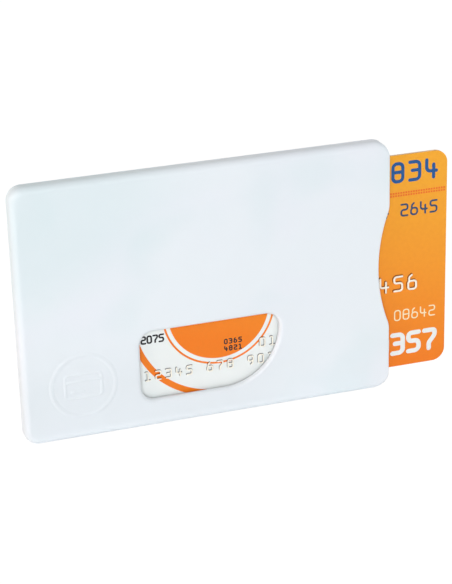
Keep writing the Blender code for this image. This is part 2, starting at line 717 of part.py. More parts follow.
def make_back_films(parts, stripe_material, panel_material):
    """The magnetic stripe across the card's back, and the signature panel under it."""
    front_y = CARD_BACK_Y + FILM_GAP
    top = CARD_TOP - STRIPE_FROM_TOP
    low = top - STRIPE_HEIGHT
    stripe = [(CARD_LEFT, low), (CARD_RIGHT, low), (CARD_RIGHT, top), (CARD_LEFT, top)]
    plate("magnetic_stripe", [stripe], front_y, front_y + FILM, parts, stripe_material)
    right = CARD_RIGHT - PANEL_FROM_END
    panel_top = CARD_TOP - PANEL_FROM_TOP
    panel_box = (right - PANEL_LENGTH, right, panel_top - PANEL_HEIGHT, panel_top)
    panel = rounded_box_path(*panel_box, PANEL_CORNER_RADIUS)
    plate("signature_panel", [panel], front_y, front_y + FILM, parts, panel_material)


def main():
    clear_scene()
    parts = new_collection("card_holder")
    cutters = new_collection("cutters")
    shell = make_material("white_shell", (0.82, 0.86, 0.88), 0.38)
    foil = make_material("shield_foil", (0.78, 0.79, 0.80), 0.30, 0.9)
    print_ink = make_material("card_print", (0.90, 0.42, 0.06), 0.35)
    core = make_material("card_core", (0.86, 0.86, 0.84), 0.50)
    copper = make_material("antenna_copper", (0.72, 0.38, 0.22), 0.30, 1.0)
    gold = make_material("chip_contacts", (0.83, 0.66, 0.32), 0.28, 1.0)
    resin = make_material("chip_resin", (0.03, 0.03, 0.03), 0.45)
    magnetic = make_material("stripe_brown", (0.035, 0.028, 0.025), 0.40)
    panel = make_material("panel_white", (0.85, 0.85, 0.82), 0.70)
    make_front_shell(parts, cutters, shell)
    make_back_shell(parts, cutters, shell)
    make_shields(parts, foil)
    make_printed_sheets(parts, cutters, print_ink)
    make_inlay(parts, cutters, core)
    make_antenna(parts, copper)
    make_chip(parts, gold, resin)
    make_back_films(parts, magnetic, panel)


main()
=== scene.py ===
"""Looks of a hard plastic card sleeve and of the bank card that slides in it.

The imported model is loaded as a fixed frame. Each piece is then made in that frame, or a node of the
frame gets its finish. X runs along the sleeve to its open mouth, Z is up, the front looks to -Y.
"""
import math
from functools import partialmethod

import bmesh
import bpy
import numpy as np
from bpy.props import FloatProperty, FloatVectorProperty, PointerProperty
from mathutils import Euler, Matrix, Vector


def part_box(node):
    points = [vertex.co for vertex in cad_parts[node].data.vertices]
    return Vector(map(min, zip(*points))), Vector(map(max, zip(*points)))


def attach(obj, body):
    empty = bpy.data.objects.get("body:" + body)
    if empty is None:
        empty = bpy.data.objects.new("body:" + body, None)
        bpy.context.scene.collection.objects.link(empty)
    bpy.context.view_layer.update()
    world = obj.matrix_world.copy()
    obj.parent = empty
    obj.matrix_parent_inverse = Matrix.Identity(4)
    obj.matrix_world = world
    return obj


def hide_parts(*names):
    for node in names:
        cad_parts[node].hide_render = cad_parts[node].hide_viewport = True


bl_info = {
    "name": "Card sleeve looks",
    "version": (1, 0, 0),
    "blender": (4, 5, 0),
    "location": "View3D > Sidebar > Card sleeve",
    "description": "Makes the shells, the printed card and the studio of a card sleeve",
    "category": "Object",
}

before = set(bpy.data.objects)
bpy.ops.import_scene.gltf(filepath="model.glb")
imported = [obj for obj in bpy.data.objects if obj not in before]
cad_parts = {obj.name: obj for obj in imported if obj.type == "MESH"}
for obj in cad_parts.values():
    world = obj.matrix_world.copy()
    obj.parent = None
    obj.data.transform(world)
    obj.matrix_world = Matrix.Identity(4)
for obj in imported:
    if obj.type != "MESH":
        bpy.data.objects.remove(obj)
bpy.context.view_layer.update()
SLEEVE_LOW, SLEEVE_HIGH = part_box("back_shell")
CARD_LOW, CARD_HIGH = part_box("card_inlay")
CHIP_LOW, CHIP_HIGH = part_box("chip_contact_plate")
PANEL_LOW, PANEL_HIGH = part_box("signature_panel")

FACE_Y = -SLEEVE_HIGH.y
CARD_FACE_Y = CHIP_LOW.y
MIDDLE_Z = SLEEVE_HIGH.z / 2
CARD_CORNER = (CARD_LOW.x, CARD_LOW.z)
MILLIMETRE = 0.001
FULL_TURN = 2 * math.pi

# Facets: round edges, window rim, corners, wide curves, the blends of the notch, the corners and
# ends of strokes, the emblem's corners, the sheet's punched edge
EDGE_STEPS = 10
RIM_STEPS = 8
CORNER_STEPS = 18
SWEEP_STEPS = 40
BLEND_STEPS = 12
STROKE_STEPS = 5
CAP_STEPS = 4
SIGN_STEPS = 8
SHEET_EDGE_STEPS = 3
# Thickness of a printed ink, the share of its half width that is flat, and the rounding of its
# numerals as a share of their width on the card and on the signature panel
INK_FILM = 0.000012
INK_CREST = 0.9
PRINT_CORNER_SHARE = 0.46
PANEL_CORNER_SHARE = 0.4
# Share of the half width at which each point across a raised or a printed line lies
ACROSS_SHARES = (-1, -0.86, -0.72, -0.58, -0.44, -0.22, 0, 0.22, 0.44, 0.58, 0.72, 0.86, 1)
PRINT_ACROSS_SHARES = (-1, -INK_CREST, INK_CREST, 1)
# Share of the half width of the emblem's lines that is flat
EMBLEM_CREST = 0.1
# Least cosine at a mitred corner, and the most of a run that the rounding of its end takes
MITRE_LIMIT = 0.6
CORNER_RUN_SHARE = 0.4
# Flat margins of the printed sheet, as a multiple of the radius of its punched edge
SHEET_MARGIN = 3
# Direction to the upper left, toward which the raised numerals' slopes get more painted shade
PAINTED_SHADE_SIDE = (-0.64, 0.0, 0.77)
# Colours that multiply the print's slopes and the plastic's lower left, as painted shade
PAINTED_SHADE_COLOUR = (0.27, 0.27, 0.28)
LOWER_PAINTED_SHADE = (0.948, 0.948, 0.948)
# Depth of the floor below the sleeve's foot, so that the two faces lie apart, and the strength of
# the white that the floor shows of its own
FLOOR_DROP = 0.00002
FLOOR_WHITE = 1.15
# The camera's sensor in millimetres and its nearest view in metres
SENSOR_WIDTH = 36
CLIP_START = 0.01
# Share of the relief that the crossing strokes of a numeral have
CROSS_SHARE = 0.93
# Creases sharper than this many degrees are shaded as edges
CREASE_DEGREES = 35
# Points closer than this are one point, edges shorter than the next are taken out, and divisors
# are kept above the last
MERGE_DISTANCE = 1e-7
NO_EDGE = 1e-8
TINY = 1e-9

# Strokes of each numeral in a unit box: the main strokes, whether they close on themselves, and
# the strokes that cross or join them
NUMERAL_SHARES = {
    "0": [[(0, 0), (1, 0), (1, 1), (0, 1)], True, None],
    "1": [[(0.1, 1), (0.5, 1), (0.5, 0)], False, [(0.08, 0), (0.92, 0)]],
    "2": [[(0, 1), (1, 1), (1, 0.52), (0, 0.52), (0, 0), (1, 0)], False, None],
    "3": [[(0, 1), (1, 1), (1, 0), (0, 0)], False, [(0.25, 0.53), (1, 0.53)]],
    "4": [[(0, 1), (0, 0.36), (1, 0.36)], False, [(0.72, 0.72), (0.72, 0)]],
    "5": [[(1, 1), (0, 1), (0, 0.55), (1, 0.55), (1, 0), (0, 0)], False, None],
    "6": [[(0, 0), (1, 0), (1, 0.58), (0, 0.58)], True, [(0.12, 0.58), (0.12, 0.86), (0.45, 1)]],
    "7": [[(0, 1), (1, 1), (1, 0.7), (0.45, 0.3), (0.45, 0)], False, None],
    "8": [[(0, 0), (1, 0), (1, 1), (0, 1)], True, [(0, 0.52), (1, 0.52)]],
    "9": [[(0, 0.42), (1, 0.42), (1, 1), (0, 1)], True, [(0.88, 0.42), (0.88, 0.14), (0.55, 0)]],
}

# Printed rows of the card's front by ink, in metres. Each has its line, the middle of its first
# numeral and its foot from the card's lower left corner, then a numeral's width, the pitch from one
# numeral to the next, and the stroke's width.
PRINTED_ROWS = {
    "navy": [("2834", 0.06865, 0.0475, 0.0025, 0.0043, 0.00085)],
    "slate": [("14 2645", 0.0672, 0.0388, 0.00160, 0.00250, 0.00048)],
    "black": [
        ("2075", 0.00935, 0.0163, 0.00096, 0.00145, 0.00043),
        ("0365", 0.0294, 0.01310, 0.00062, 0.00118, 0.00031),
        ("4821", 0.0294, 0.01130, 0.00062, 0.00118, 0.00031)],
    "pale": [("08642", 0.0731, 0.0121, 0.00145, 0.00226, 0.00031)],
    "white": [("0357", 0.0690, 0.0035, 0.0027, 0.0042, 0.00118)],
}
# The same for the signature panel, from its own lower corner, seen from behind
PANEL_ROWS = [("3456", 0.0340, 0.0036, 0.0012, 0.0020, 0.00030),
              ("208", 0.0455, 0.0036, 0.0012, 0.0020, 0.00030)]

# The dotted line of the card's front: the pitch and size of its dots, the heights of its rows, and
# its start as a share of the pitch
DOT_PITCH = 0.00065
DOT_SIZE = 0.00046
DOT_ROWS = (0.04395, 0.04460)
DOT_START = 0.6

# The wave between orange and white, in millimetres from the card's lower left corner: a disc, a
# slope through a point with its unit direction, a level, the reach of the blends between them,
# and two orange lines beside the edge, each with its distance and half its width
DISC_MIDDLE = (27.9, 22.2)
DISC_RADIUS = 12.4
SLOPE_PLACE = (42.0, 31.5)
SLOPE_DIRECTION = (0.82, 0.573)
WAVE_LEVEL = 31.5
WAVE_BLEND = 9.0
WAVE_LINES = ((1.20, 0.24), (8.70, 0.76))
# Half the run over which the wave's edge and its lines turn from one colour to the other
EDGE_SOFTNESS = 0.05
LINE_SOFTNESS = 0.04
# Shares of the relief between which the numerals turn to painted shade, and to foil
PAINTED_SHADE_RUN = (0.03, 0.14)
TIPPED_RUN = (0.56, 0.74)


def length(name, description, default):
    return FloatProperty(
        name=name, description=description, default=default, unit="LENGTH", precision=5)


def share(name, description, default):
    return FloatProperty(name=name, description=description, default=default, subtype="FACTOR")


def degrees(name, description, default):
    radians = math.radians(default)
    return FloatProperty(name=name, description=description, default=radians, subtype="ANGLE")


def colour(name, description, default):
    return FloatVectorProperty(
        name=name, description=description, default=default, subtype="COLOR", size=3, min=0, max=2)


class SleeveShape(bpy.types.PropertyGroup):
    """Walls, corners, notch and window of the sleeve"""

    wall: length("Wall", "Thickness of the front and back walls", 0.0010)
    rail: length("Rail", "Width of the solid rails above and below the pocket", 0.00396)
    end_wall: length("End wall", "Width of the solid closed end", 0.0030)
    parting: length("Parting gap", "Gap between the two shells", 0.00004)
    pocket_corner: length("Pocket corner", "Radius of the pocket's closed corners", 0.0024)
    closed_corner: length("Closed corner", "Radius of the outline at the closed end", 0.0034)
    mouth_corner: length("Mouth corner", "Radius of the outline at the mouth", 0.0038)
    front_rounding: length("Front rounding", "Radius of the front face's edge", 0.0017)
    back_rounding: length("Back rounding", "Radius of the back face's edge", 0.0009)
    mouth_rounding: length("Mouth rounding", "Radius of the faces' edges at the mouth", 0.0003)
    notch_height: length("Notch height", "Height of the thumb notch", 0.0316)
    notch_depth: length("Notch depth", "Depth of the thumb notch", 0.00275)
    notch_blend: length("Notch blend", "Radius that blends the notch into the mouth", 0.0060)
    window_length: length("Window length", "Length of the finger window", 0.0342)
    window_height: length("Window height", "Height of the finger window", 0.01715)
    window_shift: length("Window shift", "From the sleeve's middle to the window's", 0.0002)
    window_foot: length("Window foot", "Height of the window's lower edge", 0.0069)
    window_corner: length("Window corner", "Radius of the three small corners", 0.0033)
    window_sweep: length("Window sweep", "Radius of the wide lower right corner", 0.0138)
    window_rounding: length("Window rounding", "Radius of the window's rim", 0.00095)
    support: length("Support", "Flat margin beside each rounding, which keeps the faces flat", 0.00015)
    seam: length("Seam", "Depth of the groove where the two shells meet", 0.0001)


class EmblemShape(bpy.types.PropertyGroup):
    """Raised ring and card sign on the front"""

    radius: length("Radius", "Radius of the ring's middle line", 0.0076)
    from_end: length("From end", "From the closed end to the ring's middle", 0.0144)
    from_foot: length("From foot", "From the bottom edge to the ring's middle", 0.0134)
    line: length("Line", "Width of the ring's line", 0.0014)
    relief: length("Relief", "Height of the raised lines", 0.0001)
    sign_length: length("Sign length", "Length of the card sign", 0.0086)
    sign_height: length("Sign height", "Height of the card sign", 0.0058)
    sign_corner: length("Sign corner", "Radius of the card sign's corners", 0.0009)
    sign_line: length("Sign line", "Width of the card sign's lines", 0.0010)
    stripe_drop: length("Stripe drop", "From the sign's top to its stripe", 0.0017)
    mark_length: length("Mark length", "Length of the sign's short mark", 0.0026)
    mark_raise: length("Mark raise", "From the sign's lower left corner in and up to the mark", 0.0015)


class CardShape(bpy.types.PropertyGroup):
    """Outline and raised rows of the card"""

    corner: length("Corner", "Radius of the card's corners", 0.00318)
    sheet: length("Sheet", "Thickness of the printed sheet", 0.00016)
    edge: length("Edge", "Radius of the sheet's punched edge", 0.00005)
    chip_fit: length("Chip fit", "Gap round the contact plate", 0.00005)
    chip_corner: length("Chip corner", "Radius of the contact plate's corners", 0.0015)
    relief: length("Relief", "Height of the raised numerals", 0.00046)
    number_from_left: length("Number from left", "To the middle of the first numeral", 0.0114)
    number_pitch: length("Number pitch", "From one large numeral to the next", 0.00363)
    number_foot: length("Number foot", "From the card's edge to the number row", 0.01992)
    number_width: length("Number width", "Width of a large numeral between its strokes", 0.00206)
    number_stroke: length("Number stroke", "Width of a large numeral's strokes", 0.00092)
    small_pitch: length("Small pitch", "From one small numeral to the next", 0.00254)
    small_width: length("Small width", "Width of a small numeral between its strokes", 0.0012)
    small_stroke: length("Small stroke", "Width of a small numeral's strokes", 0.00060)
    date_from_left: length("Date from left", "To the middle of the first date numeral", 0.0384)
    date_foot: length("Date foot", "From the card's edge to the date row", 0.0111)
    low_from_left: length("Low from left", "To the middle of the lowest row's first numeral", 0.0100)
    low_foot: length("Low foot", "From the card's edge to the lowest row", 0.0069)
    slenderness: share("Slenderness", "A numeral's width as a share of its height", 0.568)
    corner_share: share("Corner share", "Rounding of a raised numeral as a share of its width", 0.30)
    crest: share("Crest", "Share of a raised line's half width that stays flat", 0.32)


class CardPrint(bpy.types.PropertyGroup):
    """Inks of the card's print"""

    amber: colour("Amber", "Ground at the card's top right corner", (0.930, 0.415, 0.028))
    mid: colour("Mid orange", "Ground at the card's middle", (0.925, 0.328, 0.022))
    orange: colour("Orange", "Ground at the card's lower left corner", (0.900, 0.208, 0.010))
    white: colour("White", "White of the print and of its numerals", (0.865, 0.90, 0.885))
    navy: colour("Navy", "Ink of the upper numerals", (0.010, 0.092, 0.290))
    slate: colour("Slate", "Ink of the small upper numerals", (0.024, 0.066, 0.145))
    black: colour("Black", "Ink of the small numerals", (0.012, 0.012, 0.014))
    pale: colour("Pale", "Ink of the small pale numerals", (0.98, 0.84, 0.55))
    dots: colour("Dots", "Ink of the dotted line", (0.85, 0.165, 0.018))
    tip: colour("Tips", "Foil on the crests of the raised numerals", (0.98, 0.94, 0.82))


class Finishes(bpy.types.PropertyGroup):
    """Colours of the plastics, films and metals"""

    shell: colour("Sleeve", "Main colour of the white plastic", (0.825, 0.880, 0.915))
    shell_cyan: colour("Sleeve, cool", "Cooler cloud in the white plastic", (0.735, 0.840, 0.865))
    shell_lilac: colour("Sleeve, warm", "Warmer cloud in the white plastic", (0.830, 0.870, 0.920))
    foil: colour("Foil", "Shielding foil", (0.52, 0.53, 0.54))
    core: colour("Core", "Core of the card", (0.90, 0.72, 0.46))
    copper: colour("Copper", "Antenna wire", (0.72, 0.38, 0.22))
    gilt: colour("Gilt", "Contacts of the chip", (0.83, 0.66, 0.32))
    resin: colour("Resin", "Capsule over the chip", (0.03, 0.03, 0.03))
    stripe: colour("Stripe", "Magnetic film", (0.035, 0.028, 0.025))
    panel: colour("Panel", "Signature film", (0.85, 0.85, 0.82))


class Studio(bpy.types.PropertyGroup):
    """Camera, lamps and floor"""

    aim_x: length("Aim X", "Point that the camera looks at, along the sleeve", 0.004841)
    aim_z: length("Aim Z", "Point that the camera looks at, above the floor", 0.030445)
    distance: length("Distance", "From the camera to that point", 0.446333)
    azimuth: degrees("Azimuth", "Turn of the camera to the right of the front", -17.8141)
    elevation: degrees("Elevation", "Height of the camera above the level", 22.0277)
    roll: degrees("Roll", "Tilt of the picture", -1.6408)
    lens: FloatProperty(name="Lens", description="Focal length in millimetres", default=118.1945)
    lamp_distance: length("Lamp distance", "From each lamp to the sleeve", 2.2)
    lamp_size: length("Lamp size", "Width and height of each lamp", 1.5)
    front: share("Front light", "Light of the front lamp on a surface that faces it", 0.66)
    front_azimuth: degrees("Front azimuth", "Turn of the front lamp to the right of the front", -17)
    front_elevation: degrees("Front elevation", "Height of the front lamp above the level", 18)
    front_tint: colour("Front tint", "Colour of the front lamp", (0.98, 1.005, 1.03))
    left: share("Left light", "Light of the left lamp on a surface that faces it", 0.42)
    left_azimuth: degrees("Left azimuth", "Turn of the left lamp to the right of the front", -85)
    left_elevation: degrees("Left elevation", "Height of the left lamp above the level", 14)
    left_tint: colour("Left tint", "Colour of the left lamp", (1.05, 0.83, 0.76))
    right: share("Right light", "Light of the right lamp on a surface that faces it", 0.38)
    right_azimuth: degrees("Right azimuth", "Turn of the right lamp to the right of the front", 100)
    right_elevation: degrees("Right elevation", "Height of the right lamp above the level", 10)
    right_tint: colour("Right tint", "Colour of the right lamp", (0.97, 1.00, 1.00))
    back: share("Back light", "Light of the back lamp on a surface that faces it", 0.50)
    back_azimuth: degrees("Back azimuth", "Turn of the back lamp to the right of the front", -163)
    back_elevation: degrees("Back elevation", "Height of the back lamp above the level", 6)
    back_tint: colour("Back tint", "Colour of the back lamp", (1.00, 1.00, 1.00))
    world: share("World light", "Light that comes evenly from all round", 0.24)
    floor_size: length("Floor size", "Width and depth of the floor", 6.0)
    floor_albedo: share("Floor colour", "How pale the floor is", 0.92)
    floor_glow: share("Floor glow", "Share of the floor's own white that the camera sees", 0.80)


def arc(centre, radii, start, end, steps):
    """Centre plus radii times (cos a, sin a), for evenly spaced angles a in degrees.

    The radii are one number, or one across and one up.
    """
    angle = np.radians(np.linspace(start, end, steps + 1))
    return np.asarray(centre) + np.stack([np.cos(angle), np.sin(angle)], axis=1) * radii


def unit(vectors):
    return vectors / np.maximum(np.linalg.norm(vectors, axis=-1, keepdims=True), TINY)


def rounded_path(corners, radius, closed, steps):
    """Corner points joined by straight runs, each corner a circular arc.

    An arc point is the corner circle's centre plus the mix of its first and last spokes, weighted by
    sin((1 - t) a) and sin(t a) over sin a, where a is the angle between the spokes. An open path
    keeps its two ends.
    """
    corners = np.asarray(corners, float)
    back = np.roll(corners, 1, axis=0) - corners
    ahead = np.roll(corners, -1, axis=0) - corners
    run = np.minimum(np.linalg.norm(back, axis=1), np.linalg.norm(ahead, axis=1))
    back = unit(back)
    ahead = unit(ahead)
    half = np.arccos(np.clip((back * ahead).sum(axis=1), -1, 1)) / 2
    reach = np.minimum(radius / np.maximum(np.tan(half), TINY), CORNER_RUN_SHARE * run)[:, None]
    centre = corners + unit(back + ahead) * reach / np.cos(half)[:, None]
    first = corners + back * reach - centre
    last = corners + ahead * reach - centre
    angle = (math.pi - 2 * half)[:, None, None]
    part = np.linspace(0, 1, steps + 1)[None, :, None]
    mixed = np.sin((1 - part) * angle) * first[:, None] + np.sin(part * angle) * last[:, None]
    rounded = centre[:, None] + mixed / np.sin(angle)
    if closed:
        return rounded.reshape(-1, 2)
    inner = rounded[1:-1].reshape(-1, 2)
    return np.concatenate([corners[:1], inner, corners[-1:]])


def rounded_box(left, right, foot, top, radius, steps=CORNER_STEPS):
    corners = [(left, foot), (right, foot), (right, top), (left, top)]
    return rounded_path(corners, radius, True, steps)


def grown_box(low, high, radius, grow):
    """The rounded outline of a node's box, drawn out by a distance, or in where it is below nought."""
    return rounded_box(low.x - grow, high.x + grow, low.z - grow, high.z + grow, radius + grow)


def lift(outline, depth):
    """An outline in the upright plane as points in space, at one depth or at a depth for each point."""
    return np.stack([outline[:, 0], np.broadcast_to(depth, len(outline)), outline[:, 1]], axis=1)


def turns_of(outline, centre, start=0.0):
    """Each point's angle about a centre, counted from a start angle and kept within one turn."""
    angle = np.arctan2(outline[:, 1] - centre[1], outline[:, 0] - centre[0])
    return np.mod(angle - start, FULL_TURN)


def read_at(values, own, turns):
    """Values that an outline has at its own turns, read at other turns along straight runs."""
    return np.stack([np.interp(turns, own, column, period=FULL_TURN) for column in values.T], axis=1)


def rings_at(turns, levels):
    """The outline of each level, lifted to its depth and read at the turns."""
    return [read_at(lift(outline, depth), own, turns) for outline, own, depth in levels]


def surface(rings, over=False):
    """Points and four-sided faces of a grid of closed rings, closed over the rings too where asked.

    The faces are turned so that the signed volume they enclose is positive.
    """
    rings = np.asarray(rings, float)
    count, size = rings.shape[:2]
    row = np.arange(count if over else count - 1)[:, None]
    column = np.arange(size)[None, :]
    next_row = (row + 1) % count
    next_column = (column + 1) % size
    corners = (row * size + column, row * size + next_column,
               next_row * size + next_column, next_row * size + column)
    faces = np.stack(np.broadcast_arrays(*corners), axis=-1).reshape(-1, 4)
    points = rings.reshape(-1, 3)
    a, b, c, d = (points[faces[:, index]] - points.mean(axis=0) for index in range(4))
    volume = (a * np.cross(b, c) + a * np.cross(c, d)).sum()
    if volume < 0:
        faces = faces[:, ::-1]
    return points, faces


def raised_line(path, closed, width, relief, crest, face_y, sink, shares=ACROSS_SHARES):
    """A closed ridge along a path on a face that looks to -Y.

    A point at r half widths from the middle line stands s * s * (3 - 2 * s) of the relief high, where
    s is (1 - r) / (1 - crest) kept from 0 to 1. At a corner the width is divided by the cosine of
    half the turn. Open ends are round: a cap row at angle a lies sin a half widths past the end and
    is cos a as wide. The underside lies at the sink below the face.
    """
    path = np.asarray(path, float)
    half = width / 2
    before = np.roll(path, 1, axis=0)
    after = np.roll(path, -1, axis=0)
    if not closed:
        before[0] = 2 * path[0] - path[1]
        after[-1] = 2 * path[-1] - path[-2]
    tangent = unit(unit(path - before) + unit(after - path))
    mitre = 1 / np.maximum((tangent * unit(after - path)).sum(axis=1), MITRE_LIMIT)
    along = np.zeros(len(path))
    if not closed:
        cap = np.radians(np.linspace(90, 0, CAP_STEPS + 1))[:-1]
        path = np.pad(path, ((CAP_STEPS, CAP_STEPS), (0, 0)), "edge")
        tangent = np.pad(tangent, ((CAP_STEPS, CAP_STEPS), (0, 0)), "edge")
        mitre = np.pad(mitre, CAP_STEPS, constant_values=1)
        along = np.concatenate([-np.sin(cap), along, np.sin(cap[::-1])])
    narrow = np.sqrt(np.maximum(1 - along ** 2, 0))
    shares = np.asarray(shares, float)[None, :]
    across = shares * narrow[:, None]
    distance = np.hypot(across, along[:, None])
    step = np.clip((1 - distance) / (1 - crest), 0, 1)
    height = relief * step * step * (3 - 2 * step)
    side = np.stack([-tangent[:, 1], tangent[:, 0]], axis=1)
    middle = path + tangent * along[:, None] * half
    flat = middle[:, None] + side[:, None] * (across * mitre[:, None] * half)[..., None]
    top = np.stack([flat[..., 0], face_y - height, flat[..., 1]], axis=-1)
    under = top[:, [-1, 0]].copy()
    under[..., 1] = face_y + sink
    return surface(np.concatenate([top, under], axis=1), over=closed)


def numeral_paths(line, left, foot, width, pitch, corner_share):
    """The strokes of a line of numerals: each path, whether it closes, and its share of the relief.

    The strokes that cross others are a step lower than the main ones.
    """
    height = width / settings("card").slenderness
    for index, character in enumerate(line):
        if character == " ":
            continue
        main, closed, cross = NUMERAL_SHARES[character]
        origin = np.array([left + pitch * index - width / 2, foot])
        for strokes, loop, part in ((main, closed, 1.0), (cross, False, CROSS_SHARE)):
            if strokes:
                placed = origin + np.array(strokes) * (width, height)
                yield rounded_path(placed, width * corner_share, loop, STROKE_STEPS), loop, part


def numerals(rows, corner, corner_share, relief, crest, face_y, sink, shares=ACROSS_SHARES):
    """Rows of numerals as ridges on a face; the rows' places count from the corner."""
    return [
        raised_line(path, closed, stroke, relief * part, crest, face_y, sink, shares)
        for line, left, foot, width, pitch, stroke in rows
        for path, closed, part in numeral_paths(
            line, corner[0] + left, corner[1] + foot, width, pitch, corner_share)]


def boxes(centres, size, front_y, back_y):
    """Many upright boxes at once: each corner is its centre plus or minus half the size."""
    signs = np.array([(-1, -1), (1, -1), (1, 1), (-1, 1)]) / 2
    flat = centres[:, None] + signs[None] * size
    depth = np.array([back_y, front_y])
    points = np.empty((len(flat), 2, 4, 3))
    points[..., 0] = flat[:, None, :, 0]
    points[..., 1] = depth[None, :, None]
    points[..., 2] = flat[:, None, :, 1]
    sides = [(k, (k + 1) % 4, (k + 1) % 4 + 4, k + 4) for k in range(4)]
    faces = np.array([(3, 2, 1, 0), (4, 5, 6, 7)] + sides)
    offset = np.arange(len(flat))[:, None, None] * 8
    return points.reshape(-1, 3), (faces[None] + offset).reshape(-1, 4)


def make_piece(name, surfaces, finish, body, slot, *nodes):
    """Joins closed surfaces into one smooth mesh that rides on a body and stands for CAD nodes."""
    offsets = np.cumsum([0] + [len(points) for points, faces in surfaces[:-1]])
    points = np.concatenate([points for points, faces in surfaces])
    faces = np.concatenate([faces + offset for (_, faces), offset in zip(surfaces, offsets)])
    mesh = bpy.data.meshes.new(name)
    mesh.from_pydata(points, [], faces.tolist())
    bm = bmesh.new()
    bm.from_mesh(mesh)
    bmesh.ops.remove_doubles(bm, verts=bm.verts, dist=MERGE_DISTANCE)
    bmesh.ops.dissolve_degenerate(bm, edges=bm.edges, dist=NO_EDGE)
    bm.to_mesh(mesh)
    bm.free()
    mesh.polygons.foreach_set("use_smooth", np.ones(len(mesh.polygons), bool))
    mesh.set_sharp_from_angle(angle=math.radians(CREASE_DEGREES))
    mesh.materials.append(finish)
    piece = bpy.data.objects.new(name, mesh)
    bpy.context.scene.collection.objects.link(piece)
    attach(piece, body)
    if nodes:
        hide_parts(*nodes)
    return piece


def finish_node(name, finish):
    """Gives a node of the frame its finish."""
    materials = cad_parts[name].data.materials
    materials.clear()
    materials.append(finish)


def settings(name):
    """One of the groups of sizes and colours that the scene carries."""
    return getattr(bpy.context.scene, "card_sleeve_" + name)


class Value:
    """A number inside a material: arithmetic on it adds Math nodes to the material."""

    def __init__(self, nodes, socket):
        self.nodes = nodes
        self.socket = socket

    def math(self, operation, *others):
        return self.nodes.math(operation, self, *others)

    __add__ = __radd__ = partialmethod(math, "ADD")
    __sub__ = partialmethod(math, "SUBTRACT")
    __mul__ = __rmul__ = partialmethod(math, "MULTIPLY")
    __truediv__ = partialmethod(math, "DIVIDE")
    sine = partialmethod(math, "SINE")
    size = partialmethod(math, "ABSOLUTE")
    least = partialmethod(math, "MINIMUM")
    most = partialmethod(math, "MAXIMUM")
    blended_least = partialmethod(math, "SMOOTH_MIN")

    def __rsub__(self, other):
        return self.nodes.math("SUBTRACT", other, self)

    def wrapped(self, period):
        return self.math("WRAP", period, 0)

    def step(self, start, end):
        """0 before the start and 1 after the end, with a smooth run between; the end may be lower."""
        run = {"Value": self, "From Min": start, "From Max": end}
        node = self.nodes.node("ShaderNodeMapRange", {"interpolation_type": "SMOOTHSTEP"}, run)
        return Value(self.nodes, node.outputs["Result"])


class Nodes:
    """The nodes of a material or of the world, under construction."""

    def __init__(self, tree):
        self.tree = tree
        self.tree.nodes.clear()

    def node(self, kind, options=None, inputs=None):
        """A node with its options set first, then its sockets fed with values or links by name."""
        node = self.tree.nodes.new(kind)
        for key, value in (options or {}).items():
            if key == "stops":
                self.set_stops(node.color_ramp, value)
            else:
                setattr(node, key, value)
        for key, value in (inputs or {}).items():
            self.feed(self.socket(node, key), value)
        return node

    def socket(self, node, key):
        """The socket with that identifier, or else the first shown one with that name."""
        exact = [socket for socket in node.inputs if socket.identifier == key]
        named = [socket for socket in node.inputs if socket.name == key and socket.enabled]
        return (exact + named)[0]

    def feed(self, socket, value):
        source = value.socket if isinstance(value, Value) else value
        if isinstance(source, bpy.types.NodeSocket):
            self.tree.links.new(source, socket)
        elif socket.type == "RGBA":
            socket.default_value = (*source[:3], 1.0)
        else:
            socket.default_value = source

    def set_stops(self, ramp, stops):
        while len(ramp.elements) < len(stops):
            ramp.elements.new(1.0)
        for element, (place, tint) in zip(ramp.elements, stops):
            element.position = place
            element.color = (*tint, 1.0)

    def math(self, operation, *values):
        inputs = dict(zip(("Value", "Value_001", "Value_002"), values))
        node = self.node("ShaderNodeMath", {"operation": operation}, inputs)
        return Value(self, node.outputs["Value"])

    def distance(self, across, up):
        return self.math("SQRT", across * across + up * up)

    def attribute(self, name):
        return Value(self, self.node("ShaderNodeAttribute", {"attribute_name": name}).outputs["Fac"])

    def mix(self, factor, first, second, blend="MIX"):
        """A colour between two: the first where the factor is 0 and the second where it is 1."""
        kind = {"data_type": "RGBA", "blend_type": blend, "clamp_factor": True}
        inputs = {"Factor_Float": factor, "A_Color": first, "B_Color": second}
        node = self.node("ShaderNodeMix", kind, inputs)
        return next(socket for socket in node.outputs if socket.identifier == "Result_Color")

    def shade(self, factor, tint, share):
        """A tint that goes over to a share of itself where the factor is 1."""
        return self.mix(factor, tint, [part * share for part in tint])

    def ramp(self, factor, stops):
        node = self.node("ShaderNodeValToRGB", {"stops": stops}, {"Fac": factor})
        return node.outputs["Color"]


